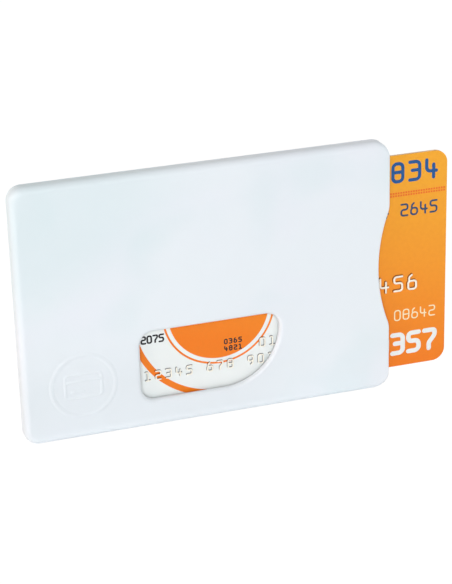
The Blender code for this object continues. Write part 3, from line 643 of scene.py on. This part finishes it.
class Finish(Nodes):
    """A material under construction, with one Principled shader."""

    def __init__(self, name, roughness, metallic=0.0, specular=0.5):
        self.material = bpy.data.materials.new(name)
        self.material.use_nodes = True
        super().__init__(self.material.node_tree)
        self.shader = self.node("ShaderNodeBsdfPrincipled", {}, {
            "Roughness": roughness, "Metallic": metallic, "Specular IOR Level": specular})
        self.output = self.node(
            "ShaderNodeOutputMaterial", {}, {"Surface": self.shader.outputs["BSDF"]})
        self.place = self.node("ShaderNodeTexCoord").outputs["Object"]

    def axes(self, names="XYZ"):
        """The place on the piece in millimetres, as one value for each axis."""
        split = self.node("ShaderNodeSeparateXYZ", {}, {"Vector": self.place})
        return [Value(self, split.outputs[axis]) * (1 / MILLIMETRE) for axis in names]

    def noise(self, size, detail=2.0, stretch=(1, 1, 1), roughness=0.5):
        """Noise whose features are about as large as the size in metres; stretch shrinks an axis."""
        scaled = self.node("ShaderNodeVectorMath", {"operation": "MULTIPLY"}, {
            "Vector": self.place, "Vector_001": [part / size for part in stretch]})
        node = self.node("ShaderNodeTexNoise", {}, {
            "Vector": scaled.outputs["Vector"], "Scale": 1.0, "Detail": detail, "Roughness": roughness})
        return Value(self, node.outputs["Fac"])

    def colour(self, value):
        self.feed(self.shader.inputs["Base Color"], value)

    def roughness(self, value):
        self.feed(self.shader.inputs["Roughness"], value)

    def bump(self, height, depth, strength=1.0):
        """Relief from a height between 0 and 1 that stands for the depth in metres."""
        inputs = {"Strength": strength, "Distance": depth, "Height": height}
        node = self.node("ShaderNodeBump", {}, inputs)
        self.feed(self.shader.inputs["Normal"], node.outputs["Normal"])


def sleeve_plastic():
    """Injection-moulded white plastic: faint cool and warm clouds, a fine satin grain, soft scuffs.

    The cool cloud lies at the upper left, and the lower left is a little darker with painted shade.
    """
    tints = settings("finishes")
    finish = Finish("sleeve_plastic", roughness=0.42, specular=0.3)
    x, z = finish.axes("XZ")
    cloud = finish.noise(0.022, detail=1.5, stretch=(1, 0.3, 1))
    upper_left = x.step(6.0, -26.0) * (z - 0.45 * x).step(44.0, 62.0)
    lower_left_shade = z.step(27.0, 9.0) * z.step(1.0, 3.0) * x.step(32.0, 4.0)
    cool = (upper_left * 0.75 + cloud.step(0.5, 0.72) * 0.5).least(1.0)
    warm = finish.noise(0.030, detail=1.0, stretch=(1, 0.3, 1.3)).step(0.46, 0.66) * 0.8
    ground = finish.mix(warm, tints.shell, tints.shell_lilac)
    tinted = finish.mix(cool, ground, tints.shell_cyan)
    # Painted shade: the plastic's lower left is multiplied a little darker
    finish.colour(finish.mix(lower_left_shade, tinted, LOWER_PAINTED_SHADE, "MULTIPLY"))
    scuffs = finish.noise(0.0016, detail=3.0, stretch=(0.25, 1, 1))
    finish.roughness(0.36 + scuffs.step(0.45, 0.75) * 0.10)
    finish.bump(finish.noise(0.00022, detail=2.0), 0.000004, 0.35)
    return finish.material


def shielding_foil():
    """Bonded aluminium foil: shallow wrinkles and rolling lines along the sleeve."""
    tints = settings("finishes")
    finish = Finish("shielding_foil", roughness=0.34, metallic=1.0)
    lines = finish.noise(0.0005, detail=2.0, stretch=(0.04, 1, 1))
    finish.colour(finish.shade(lines.step(0.3, 0.7), tints.foil, 0.8))
    finish.roughness(0.30 + lines * 0.12)
    finish.bump(finish.noise(0.0035, detail=4.0, roughness=0.6), 0.00012, 0.6)
    return finish.material


def card_ground(finish, tints):
    """The card's orange ground, from amber at its top edge to deep orange at its foot.

    The place on the card in millimetres from its lower left corner comes with it.
    """
    x, y, z = finish.axes()
    height = (z - CARD_LOW.z / MILLIMETRE) / ((CARD_HIGH.z - CARD_LOW.z) / MILLIMETRE)
    reach = (CARD_HIGH.x / MILLIMETRE - x) * (0.42 * MILLIMETRE / (CARD_HIGH.x - CARD_LOW.x))
    stops = [(0.03, tuple(tints.orange)), (0.50, tuple(tints.mid)), (0.95, tuple(tints.amber))]
    ground = finish.ramp(height - reach + 0.06, stops)
    mottle = finish.noise(0.0009, detail=3.0).step(0.35, 0.7)
    shaded = finish.mix(mottle * 0.10, ground, [0.72, 0.20, 0.02])
    return shaded, x - CARD_LOW.x / MILLIMETRE, y, z - CARD_LOW.z / MILLIMETRE


def card_front_print():
    """Orange over white along a wave that two lines follow, and pale foil tips on the numerals.

    The wave is the blended least of the distances from the disc, the slope and the level, and the
    orange covers where it is below nought. The numerals' slopes carry painted shade, most on those
    that face the upper left.
    """
    tints = settings("print")
    finish = Finish("card_front_print", roughness=0.34, specular=0.3)
    ground, along, y, up = card_ground(finish, tints)
    disc = finish.distance(along - DISC_MIDDLE[0], up - DISC_MIDDLE[1]) - DISC_RADIUS
    below = (SLOPE_PLACE[1] - up) * SLOPE_DIRECTION[1]
    slope = below - (along - SLOPE_PLACE[0]) * SLOPE_DIRECTION[0]
    away = disc.blended_least(slope, WAVE_BLEND).blended_least(WAVE_LEVEL - up, WAVE_BLEND)
    inked = away.step(EDGE_SOFTNESS, -EDGE_SOFTNESS)
    for distance, half in WAVE_LINES:
        line = (away - distance).size()
        inked = inked.most(line.step(half + LINE_SOFTNESS, half - LINE_SOFTNESS))
    paper = finish.mix(finish.noise(0.002, detail=3.0) * 0.06, tints.white, [0.70, 0.78, 0.76])
    printed = finish.mix(inked, paper, ground)
    face = CARD_FACE_Y / MILLIMETRE
    relief = settings("card").relief / MILLIMETRE
    worn = finish.noise(0.0004, detail=2.0) * 0.08
    tipped = (y + worn).step(face - TIPPED_RUN[0] * relief, face - TIPPED_RUN[1] * relief)
    # Painted shade: the raised numerals' slopes are multiplied darker, most where they face the upper
    # left
    rising = y.step(face - PAINTED_SHADE_RUN[0] * relief, face - PAINTED_SHADE_RUN[1] * relief)
    painted_shade = rising * (0.22 + finish.attribute("upper_left") * 1.3).least(1.0)
    shaded_print = finish.mix(1.0, printed, PAINTED_SHADE_COLOUR, "MULTIPLY")
    finish.colour(finish.mix(tipped, finish.mix(painted_shade, printed, shaded_print), tints.tip))
    finish.roughness(0.36 - tipped * 0.06)
    finish.bump(finish.noise(0.00018, detail=2.0), 0.000003, 0.3)
    return finish.material


def card_back_print():
    """The same orange ground on the card's back, a little lighter."""
    tints = settings("print")
    finish = Finish("card_back_print", roughness=0.36, specular=0.3)
    ground = card_ground(finish, tints)[0]
    finish.colour(finish.mix(0.12, ground, tints.white))
    finish.bump(finish.noise(0.00018, detail=2.0), 0.000003, 0.3)
    return finish.material


def card_core():
    """Cream card core with a faint fibre."""
    tints = settings("finishes")
    finish = Finish("card_core", roughness=0.55)
    fibre = finish.noise(0.0006, detail=3.0, stretch=(0.3, 1, 1))
    finish.colour(finish.shade(fibre * 0.3, tints.core, 0.88))
    finish.bump(fibre, 0.000006, 0.5)
    return finish.material


def antenna_copper():
    """Enamelled copper wire with slightly uneven drawing marks."""
    tints = settings("finishes")
    finish = Finish("antenna_copper", roughness=0.3, metallic=1.0)
    marks = finish.noise(0.0004, detail=2.0)
    finish.colour(finish.shade(marks, tints.copper, 0.8))
    return finish.material


def chip_resin():
    """Black potting resin with a dull, slightly pitted skin."""
    tints = settings("finishes")
    finish = Finish("chip_resin", roughness=0.5)
    pits = finish.noise(0.0003, detail=3.0)
    finish.colour(finish.shade(pits, tints.resin, 1.6))
    finish.bump(pits, 0.00001, 0.6)
    return finish.material


def chip_gilt():
    """Gilt contacts: eight fields round a middle one, parted by etched lines."""
    tints = settings("finishes")
    finish = Finish("chip_gilt", roughness=0.26, metallic=1.0)
    x, z = finish.axes("XZ")
    middle = (CHIP_LOW + CHIP_HIGH) / 2 / MILLIMETRE
    x = x - middle.x
    z = z - middle.z
    line = 0.09
    field_length = 2.3
    field_height = 2.75
    outer = x.size() - field_length
    rows = (z.size() - field_height).size().least(z.size())
    across = rows.step(line, line * 0.6) * outer.step(-0.02, 0.02)
    columns = outer.size().step(line, line * 0.6)
    etched = across.most(columns)
    brushed = finish.noise(0.0003, detail=2.0, stretch=(0.1, 1, 1))
    worn = finish.shade(brushed, tints.gilt, 0.86)
    finish.colour(finish.mix(etched, worn, [0.20, 0.13, 0.05]))
    finish.roughness(0.24 + brushed * 0.10 + etched * 0.3)
    finish.bump(1 - etched, 0.00003, 0.8)
    return finish.material


def magnetic_film():
    """Dark brown magnetic film with fine lengthwise streaks from swiping."""
    tints = settings("finishes")
    finish = Finish("magnetic_film", roughness=0.34)
    streaks = finish.noise(0.00035, detail=3.0, stretch=(0.02, 1, 1))
    finish.colour(finish.mix(streaks.step(0.45, 0.8), tints.stripe, [0.060, 0.050, 0.045]))
    finish.roughness(0.28 + streaks * 0.16)
    return finish.material


def signature_film():
    """Matt white film with fine slanted security lines in pale grey."""
    tints = settings("finishes")
    finish = Finish("signature_film", roughness=0.75, specular=0.3)
    x, z = finish.axes("XZ")
    sway = (x * 0.9).sine() * 0.25
    slanted = (z + x * 0.55 + sway).wrapped(0.7)
    lines = (slanted - 0.35).size().step(0.10, 0.05)
    finish.colour(finish.mix(lines * 0.55, tints.panel, [0.55, 0.60, 0.66]))
    finish.bump(finish.noise(0.0002, detail=2.0), 0.000006, 0.5)
    return finish.material


def ink(name, tint):
    """Screen-printed ink, a little uneven."""
    finish = Finish(name, roughness=0.4, specular=0.3)
    cover = finish.noise(0.0006, detail=3.0)
    paler = [part * 0.9 + 0.02 for part in tint]
    finish.colour(finish.mix(cover.step(0.45, 0.8) * 0.6, tint, paler))
    return finish.material


def notch_points(inset):
    """The thumb notch from foot to top: one wide hollow arc with a blend arc at each end."""
    shape = settings("sleeve")
    mouth = SLEEVE_HIGH.x
    half = shape.notch_height / 2
    hollow = (half ** 2 + shape.notch_depth ** 2) / (2 * shape.notch_depth) - shape.notch_blend
    turn = math.degrees(math.asin(half / (hollow + shape.notch_blend)))
    blend = shape.notch_blend - inset
    blend_x = mouth - shape.notch_blend
    middle = (mouth - shape.notch_depth + hollow, MIDDLE_Z)
    low = arc((blend_x, MIDDLE_Z - half), blend, 0, turn, BLEND_STEPS)
    deep = arc(middle, hollow + inset, 180 + turn, 180 - turn, SWEEP_STEPS)
    high = arc((blend_x, MIDDLE_Z + half), blend, -turn, 0, BLEND_STEPS)
    return np.concatenate([low, deep[1:-1], high])


def pocket_levels():
    """Heights of the pocket's lower and upper walls."""
    rail = settings("sleeve").rail
    return rail, SLEEVE_HIGH.z - rail


def sleeve_outline(inset, mouth_inset):
    """The sleeve's outline drawn in, less so at the mouth, and each point's weight.

    It starts where the lower rail meets the mouth and runs up the mouth, then back round the closed
    end. The weight is 0 at the mouth, 1 on the rails and the closed end, and sin squared between.
    """
    shape = settings("sleeve")
    low, high = pocket_levels()
    mouth = SLEEVE_HIGH.x
    top = SLEEVE_HIGH.z
    closed = shape.closed_corner
    closed_x = SLEEVE_LOW.x + closed
    mouth_x = mouth - shape.mouth_corner
    mouth_radii = (shape.mouth_corner - mouth_inset, shape.mouth_corner - inset)
    mouth_points = np.concatenate([
        [(mouth - mouth_inset, low)], notch_points(mouth_inset), [(mouth - mouth_inset, high)]])
    points = np.concatenate([
        mouth_points,
        arc((mouth_x, top - shape.mouth_corner), mouth_radii, 0, 90, CORNER_STEPS),
        arc((closed_x, top - closed), closed - inset, 90, 180, CORNER_STEPS),
        arc((closed_x, closed), closed - inset, 180, 270, CORNER_STEPS),
        arc((mouth_x, shape.mouth_corner), mouth_radii, -90, 0, CORNER_STEPS)])
    ease = np.sin(np.linspace(0, math.pi / 2, CORNER_STEPS + 1)) ** 2
    full = np.ones(2 * len(ease))
    return points, np.concatenate([np.zeros(len(mouth_points)), ease, full, ease[::-1]])


def edge_rings(face_y, inward, rounding, mouth_rounding):
    """Rings from a flat face round its edge: drawn in by 1 - sin a and dropped by 1 - cos a.

    Both are in units of the local rounding, which follows each point's weight. A ring on the face
    comes first.
    """
    support = settings("sleeve").support
    rings = [(*sleeve_outline(rounding + support, mouth_rounding + support), 0.0)]
    for angle in np.linspace(0, math.pi / 2, EDGE_STEPS + 1):
        drawn_in = 1 - math.sin(angle)
        drop = inward * (1 - math.cos(angle))
        rings.append((*sleeve_outline(rounding * drawn_in, mouth_rounding * drawn_in), drop))
    return [
        (points, face_y + drop * (mouth_rounding + weights * (rounding - mouth_rounding)))
        for points, weights, drop in rings]


def window_outline(grow):
    """The finger window: three small corners and one wide sweep at the lower right."""
    shape = settings("sleeve")
    left = shape.window_shift - shape.window_length / 2
    right = shape.window_shift + shape.window_length / 2
    foot = shape.window_foot
    top = foot + shape.window_height
    small = shape.window_corner
    wide = shape.window_sweep
    return np.concatenate([
        arc((right - wide, foot + wide), wide + grow, -90, 0, SWEEP_STEPS),
        arc((right - small, top - small), small + grow, 0, 90, CORNER_STEPS),
        arc((left + small, top - small), small + grow, 90, 180, CORNER_STEPS),
        arc((left + small, foot + small), small + grow, 180, 270, CORNER_STEPS)])


def pocket_outline():
    """The pocket from the upper rail's end round the closed end to the lower rail's end."""
    shape = settings("sleeve")
    low, high = pocket_levels()
    corner = shape.pocket_corner
    left = SLEEVE_LOW.x + shape.end_wall + corner
    return np.concatenate([
        [(SLEEVE_HIGH.x, high)],
        arc((left, high - corner), corner, 90, 180, CORNER_STEPS),
        arc((left, low + corner), corner, 180, 270, CORNER_STEPS),
        [(SLEEVE_HIGH.x, low)]])


def front_shell_surface():
    """The front half as one closed band of rings, read at the same turns about the window's middle.

    The rings run from the window's inner edge out over its rim, across the face, round the edge, down
    the side, in to the pocket, down its wall and back across the inner face. At the mouth, which has
    no rail, the side ends at the inner face.
    """
    shape = settings("sleeve")
    centre = (0.0, shape.window_foot + shape.window_height / 2)
    outline = sleeve_outline(0, 0)[0]
    start = math.atan2(outline[0, 1] - centre[1], outline[0, 0] - centre[0])
    own = turns_of(outline, centre, start)
    own[0] = 0
    upper_end = own[1 + len(notch_points(0))]
    window_own = turns_of(window_outline(0), centre, start)
    pocket = pocket_outline()
    pocket_own = turns_of(pocket, centre, start)
    pocket_own[0] = upper_end
    pocket_own[-1] = FULL_TURN
    turns = np.unique(np.concatenate([own, window_own, pocket_own[:-1]]))
    mouth_turns = turns[turns <= upper_end]
    rail_turns = np.append(turns[turns >= upper_end], FULL_TURN)
    turns = np.concatenate([mouth_turns, rail_turns])
    railed = np.arange(len(turns)) >= len(mouth_turns)

    inner_y = FACE_Y + shape.wall
    side_y = SLEEVE_HIGH.y - shape.wall - shape.parting
    levels = [(window_outline(0), window_own, inner_y)]
    for angle in np.linspace(0, math.pi / 2, RIM_STEPS + 1):
        grown = window_outline(shape.window_rounding * (1 - math.cos(angle)))
        levels.append((grown, window_own, FACE_Y + shape.window_rounding * (1 - math.sin(angle))))
    levels.append((window_outline(shape.window_rounding + shape.support), window_own, FACE_Y))
    edge = edge_rings(FACE_Y, 1, shape.front_rounding, shape.mouth_rounding)
    levels += [(points, own, depth) for points, depth in edge]
    end_y = np.where(railed, side_y, inner_y)
    side = read_at(outline, own, turns)
    inner = np.stack([np.interp(turns, pocket_own, column) for column in pocket.T], axis=1)
    inner = np.where(railed[:, None], inner, side)
    groove = read_at(sleeve_outline(shape.seam, 0)[0], own, turns)
    rings = rings_at(turns, levels) + [
        lift(side, end_y - np.where(railed, shape.seam, 0)), lift(groove, end_y),
        lift(inner, end_y), lift(inner, inner_y)]
    return surface(rings, over=True)


def back_shell_surface():
    """The back half: a plate with a round edge, whose two faces close on a point in the middle."""
    shape = settings("sleeve")
    centre = np.array([[0.0, MIDDLE_Z]])
    outline = sleeve_outline(0, 0)[0]
    pole = centre.repeat(len(outline), axis=0)
    inner_y = SLEEVE_HIGH.y - shape.wall
    groove = sleeve_outline(shape.seam, 0)[0]
    rings = [lift(pole, inner_y), lift(groove, inner_y), lift(outline, inner_y + shape.seam)]
    edge = edge_rings(SLEEVE_HIGH.y, -1, shape.back_rounding, shape.mouth_rounding)
    rings += [lift(points, depth) for points, depth in reversed(edge)]
    rings.append(lift(pole, SLEEVE_HIGH.y))
    return surface(rings)


def emblem_surfaces():
    """Raised ring and card sign, as smooth ridges that run out into the front face."""
    shape = settings("emblem")
    middle_x = SLEEVE_LOW.x + shape.from_end
    middle_z = shape.from_foot
    ring = arc((middle_x, middle_z), shape.radius, 0, 360, 4 * SWEEP_STEPS)[:-1]
    left = middle_x - shape.sign_length / 2
    right = middle_x + shape.sign_length / 2
    foot = middle_z - shape.sign_height / 2
    top = middle_z + shape.sign_height / 2
    sign = rounded_box(left, right, foot, top, shape.sign_corner, SIGN_STEPS)
    stripe = [(left, top - shape.stripe_drop), (right, top - shape.stripe_drop)]
    mark_x = left + shape.mark_raise
    mark_z = foot + shape.mark_raise
    mark = [(mark_x, mark_z), (mark_x + shape.mark_length, mark_z)]
    lines = (
        (ring, True, shape.line), (sign, True, shape.sign_line),
        (stripe, False, shape.sign_line), (mark, False, shape.sign_line))
    return [
        raised_line(path, closed, width, shape.relief, EMBLEM_CREST, FACE_Y, shape.relief)
        for path, closed, width in lines]


def card_sheet_surface():
    """The printed sheet as one band of rings from the chip's opening to the card's punched edge."""
    shape = settings("card")
    centre = ((CHIP_LOW.x + CHIP_HIGH.x) / 2, (CHIP_LOW.z + CHIP_HIGH.z) / 2)
    back_y = CARD_FACE_Y + shape.sheet

    def opening(grow):
        return grown_box(CHIP_LOW, CHIP_HIGH, shape.chip_corner, grow + shape.chip_fit)

    def outline(inset):
        return grown_box(CARD_LOW, CARD_HIGH, shape.corner, -inset)

    opening_own = turns_of(opening(0), centre)
    outline_own = turns_of(outline(0), centre)
    turns = np.unique(np.concatenate([opening_own, outline_own]))
    edge = shape.edge
    margin = SHEET_MARGIN * edge
    levels = [
        (opening(0), opening_own, back_y), (opening(0), opening_own, CARD_FACE_Y + edge),
        (opening(edge), opening_own, CARD_FACE_Y), (opening(margin), opening_own, CARD_FACE_Y),
        (outline(margin), outline_own, CARD_FACE_Y)]
    for angle in np.linspace(0, math.pi / 2, SHEET_EDGE_STEPS + 1):
        inset = edge * (1 - math.sin(angle))
        levels.append((outline(inset), outline_own, CARD_FACE_Y + edge * (1 - math.cos(angle))))
    levels.append((outline(0), outline_own, back_y))
    return surface(rings_at(turns, levels), over=True)


def raised_rows():
    """Raised numerals of the card: the long number, the date and the lowest row."""
    shape = settings("card")
    small = (shape.small_width, shape.small_pitch, shape.small_stroke)
    rows = (
        ("1234 5678 9012 3456", shape.number_from_left, shape.number_foot,
         shape.number_width, shape.number_pitch, shape.number_stroke),
        ("01 23", shape.date_from_left, shape.date_foot, *small),
        ("12345 678 90123", shape.low_from_left, shape.low_foot, *small))
    return numerals(rows, CARD_CORNER, shape.corner_share, shape.relief, shape.crest,
                    CARD_FACE_Y, shape.sheet / 2)


def printed_rows(rows, corner, corner_share, face_y):
    """Rows of flat printed numerals, a hair above the face that they lie on."""
    return numerals(rows, corner, corner_share, INK_FILM, INK_CREST,
                    face_y, INK_FILM, PRINT_ACROSS_SHARES)


def panel_rows():
    """Numerals on the signature panel, made for the front and given a half turn about Z.

    The half turn makes a point (x, y, z) into (-x, -y, z).
    """
    corner = (-PANEL_HIGH.x, PANEL_LOW.z)
    rows = printed_rows(PANEL_ROWS, corner, PANEL_CORNER_SHARE, -PANEL_HIGH.y)
    return [(points * (-1, -1, 1), faces) for points, faces in rows]


def dotted_line():
    """Two rows of small square dots of ink from edge to edge of the card's face."""
    first = CARD_LOW.x + DOT_START * DOT_PITCH
    count = int((CARD_HIGH.x - first) / DOT_PITCH + 0.5)
    across = first + DOT_PITCH * np.arange(count)
    rows = CARD_LOW.z + np.array(DOT_ROWS)
    centres = np.stack(np.meshgrid(across, rows), axis=-1).reshape(-1, 2)
    return boxes(centres, DOT_SIZE, CARD_FACE_Y - INK_FILM, CARD_FACE_Y + INK_FILM)


class CARDSLEEVE_OT_front_shell(bpy.types.Operator):
    """Front shell with its window, notch, rails and raised emblem"""

    bl_idname = "card_sleeve.front_shell"
    bl_label = "Front shell"

    def execute(self, context):
        surfaces = [front_shell_surface()] + emblem_surfaces()
        make_piece("front_moulding", surfaces, sleeve_plastic(), "sleeve", "shell", "front_shell")
        return {"FINISHED"}


class CARDSLEEVE_OT_back_shell(bpy.types.Operator):
    """Back shell, a flat cover with a round edge"""

    bl_idname = "card_sleeve.back_shell"
    bl_label = "Back shell"

    def execute(self, context):
        surfaces = [back_shell_surface()]
        make_piece("back_moulding", surfaces, sleeve_plastic(), "sleeve", "shell", "back_shell")
        return {"FINISHED"}


class CARDSLEEVE_OT_shields(bpy.types.Operator):
    """Finish of the two shielding foils"""

    bl_idname = "card_sleeve.shields"
    bl_label = "Shielding foils"

    def execute(self, context):
        foil = shielding_foil()
        finish_node("front_shield", foil)
        finish_node("back_shield", foil)
        return {"FINISHED"}


class CARDSLEEVE_OT_card_front(bpy.types.Operator):
    """Printed front sheet of the card with its raised numerals

    Its attribute upper_left is how far the surface turns to the upper left, where the print carries
    painted shade.
    """

    bl_idname = "card_sleeve.card_front"
    bl_label = "Card front"

    def execute(self, context):
        surfaces = [card_sheet_surface()] + raised_rows()
        finish = card_front_print()
        piece = make_piece("card_face", surfaces, finish, "card", "card_print", "card_front_sheet")
        # Painted shade: how far each point faces the upper left, which darkens the print there
        normals = np.empty(3 * len(piece.data.vertices))
        piece.data.vertex_normals.foreach_get("vector", normals)
        facing = normals.reshape(-1, 3) @ PAINTED_SHADE_SIDE
        layer = piece.data.attributes.new("upper_left", "FLOAT", "POINT")
        layer.data.foreach_set("value", np.clip(facing, 0, 1))
        return {"FINISHED"}


class CARDSLEEVE_OT_card_inks(bpy.types.Operator):
    """Printed numerals of both sides of the card, and the dotted line on its front"""

    bl_idname = "card_sleeve.card_inks"
    bl_label = "Printed inks"

    def execute(self, context):
        tints = settings("print")
        for name, rows in PRINTED_ROWS.items():
            strokes = printed_rows(rows, CARD_CORNER, PRINT_CORNER_SHARE, CARD_FACE_Y)
            finish = ink(name + "_ink", getattr(tints, name))
            make_piece(name + "_numerals", strokes, finish, "card", "card_print")
        make_piece("panel_numerals", panel_rows(), ink("panel_ink", tints.black), "card", "panel")
        make_piece("dotted_line", [dotted_line()], ink("dot_ink", tints.dots), "card", "card_print")
        return {"FINISHED"}


class CARDSLEEVE_OT_card_inside(bpy.types.Operator):
    """Finish of the card's core, antenna and chip capsule"""

    bl_idname = "card_sleeve.card_inside"
    bl_label = "Card inside"

    def execute(self, context):
        finish_node("card_inlay", card_core())
        finish_node("antenna_coil", antenna_copper())
        finish_node("chip_capsule", chip_resin())
        finish_node("chip_contact_plate", chip_gilt())
        return {"FINISHED"}


class CARDSLEEVE_OT_card_back(bpy.types.Operator):
    """Finish of the card's back sheet, magnetic stripe and signature panel"""

    bl_idname = "card_sleeve.card_back"
    bl_label = "Card back"

    def execute(self, context):
        finish_node("card_back_sheet", card_back_print())
        finish_node("magnetic_stripe", magnetic_film())
        finish_node("signature_panel", signature_film())
        return {"FINISHED"}


def from_sight(aim, distance, azimuth, elevation):
    """The place at a distance from a point, turned to the right of the front and lifted."""
    level = math.cos(elevation)
    toward = np.array([math.sin(azimuth) * level, -math.cos(azimuth) * level, math.sin(elevation)])
    return aim + distance * toward


def seen_rays(nodes):
    """1 for camera, glossy and transmission rays, and 0 for the rest."""
    path = nodes.node("ShaderNodeLightPath")
    names = ("Is Camera Ray", "Is Glossy Ray", "Is Transmission Ray")
    rays = [Value(nodes, path.outputs[name]) for name in names]
    return rays[0].most(rays[1]).most(rays[2])


class CARDSLEEVE_OT_studio(bpy.types.Operator):
    """White floor, four soft lamps, even world light and the camera"""

    bl_idname = "card_sleeve.studio"
    bl_label = "Studio"

    def execute(self, context):
        studio = settings("studio")
        aim = np.array([studio.aim_x, 0.0, studio.aim_z])
        self.make_floor(studio)
        self.make_world(context, studio)
        for name in ("front", "left", "right", "back"):
            self.make_lamp(context, studio, aim, name)
        self.make_camera(context, studio, aim)
        context.scene.view_settings.view_transform = "Standard"
        return {"FINISHED"}

    def make_floor(self, studio):
        """A flat floor that the camera sees as white, with the object's shadow on it."""
        half = studio.floor_size / 2
        mesh = bpy.data.meshes.new("floor")
        corners = [(-half, -half), (half, -half), (half, half), (-half, half)]
        mesh.from_pydata([(x, y, -FLOOR_DROP) for x, y in corners], [], [(0, 1, 2, 3)])
        finish = Finish("white_floor", roughness=0.9, specular=0.0)
        cloud = finish.noise(0.4, detail=2.0)
        albedo = studio.floor_albedo
        finish.colour(finish.shade(cloud * 0.3, [albedo] * 3, 0.97))
        glow = finish.node("ShaderNodeEmission", {}, {"Color": [1, 1, 1], "Strength": FLOOR_WHITE})
        mixed = finish.node("ShaderNodeMixShader", {}, {
            "Fac": seen_rays(finish) * studio.floor_glow,
            "Shader": finish.shader.outputs["BSDF"], "Shader_001": glow.outputs["Emission"]})
        finish.feed(finish.output.inputs["Surface"], mixed.outputs["Shader"])
        mesh.materials.append(finish.material)
        floor = bpy.data.objects.new("floor", mesh)
        bpy.context.scene.collection.objects.link(floor)

    def make_world(self, context, studio):
        """Even light, which the camera and mirror-like surfaces see as white."""
        world = bpy.data.worlds.new("studio_world")
        world.use_nodes = True
        context.scene.world = world
        nodes = Nodes(world.node_tree)
        strength = studio.world + (1 - studio.world) * seen_rays(nodes)
        background = nodes.node("ShaderNodeBackground", {}, {"Color": [1, 1, 1], "Strength": strength})
        nodes.node("ShaderNodeOutputWorld", {}, {"Surface": background.outputs["Background"]})

    def make_lamp(self, context, studio, aim, name):
        """A square soft lamp, whose power is its light times (pi times its distance) squared.

        At that power a surface that faces it gets its light as a share of full light.
        """
        light, azimuth, elevation, tint = (
            getattr(studio, name + part) for part in ("", "_azimuth", "_elevation", "_tint"))
        data = bpy.data.lights.new(name + "_lamp", "AREA")
        data.shape = "SQUARE"
        data.size = studio.lamp_size
        data.color = tint
        data.energy = light * (math.pi * studio.lamp_distance) ** 2
        lamp = bpy.data.objects.new(name + "_lamp", data)
        lamp.location = from_sight(aim, studio.lamp_distance, azimuth, elevation)
        lamp.rotation_euler = (math.pi / 2 - elevation, 0, azimuth)
        lamp.visible_glossy = name != "back"
        context.scene.collection.objects.link(lamp)

    def make_camera(self, context, studio, aim):
        data = bpy.data.cameras.new("camera")
        data.lens = studio.lens
        data.sensor_width = SENSOR_WIDTH
        data.sensor_fit = "AUTO"
        data.clip_start = CLIP_START
        camera = bpy.data.objects.new("camera", data)
        camera.location = from_sight(aim, studio.distance, studio.azimuth, studio.elevation)
        look = (math.pi / 2 - studio.elevation, 0, studio.azimuth)
        turned = Euler(look).to_matrix() @ Matrix.Rotation(studio.roll, 3, "Z")
        camera.rotation_euler = turned.to_euler()
        context.scene.collection.objects.link(camera)
        context.scene.camera = camera


class CARDSLEEVE_PT_looks(bpy.types.Panel):
    """Lists the steps that make the looks"""

    bl_idname = "CARDSLEEVE_PT_looks"
    bl_label = "Card sleeve"
    bl_space_type = "VIEW_3D"
    bl_region_type = "UI"
    bl_category = "Card sleeve"

    def draw(self, context):
        for step in STEPS:
            self.layout.operator(step.bl_idname)


GROUPS = {
    "sleeve": SleeveShape, "emblem": EmblemShape, "card": CardShape, "print": CardPrint,
    "finishes": Finishes, "studio": Studio}
STEPS = (
    CARDSLEEVE_OT_front_shell, CARDSLEEVE_OT_back_shell, CARDSLEEVE_OT_shields,
    CARDSLEEVE_OT_card_front, CARDSLEEVE_OT_card_inks, CARDSLEEVE_OT_card_inside,
    CARDSLEEVE_OT_card_back, CARDSLEEVE_OT_studio)


def register():
    for name, group in GROUPS.items():
        bpy.utils.register_class(group)
        setattr(bpy.types.Scene, "card_sleeve_" + name, PointerProperty(type=group))
    for step in STEPS:
        bpy.utils.register_class(step)
    bpy.utils.register_class(CARDSLEEVE_PT_looks)


def unregister():
    bpy.utils.unregister_class(CARDSLEEVE_PT_looks)
    for step in reversed(STEPS):
        bpy.utils.unregister_class(step)
    for name, group in reversed(GROUPS.items()):
        delattr(bpy.types.Scene, "card_sleeve_" + name)
        bpy.utils.unregister_class(group)


def main():
    register()
    for step in STEPS:
        getattr(bpy.ops.card_sleeve, step.bl_idname.split(".")[1])()
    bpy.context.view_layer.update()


if __name__ == "__main__":
    main()
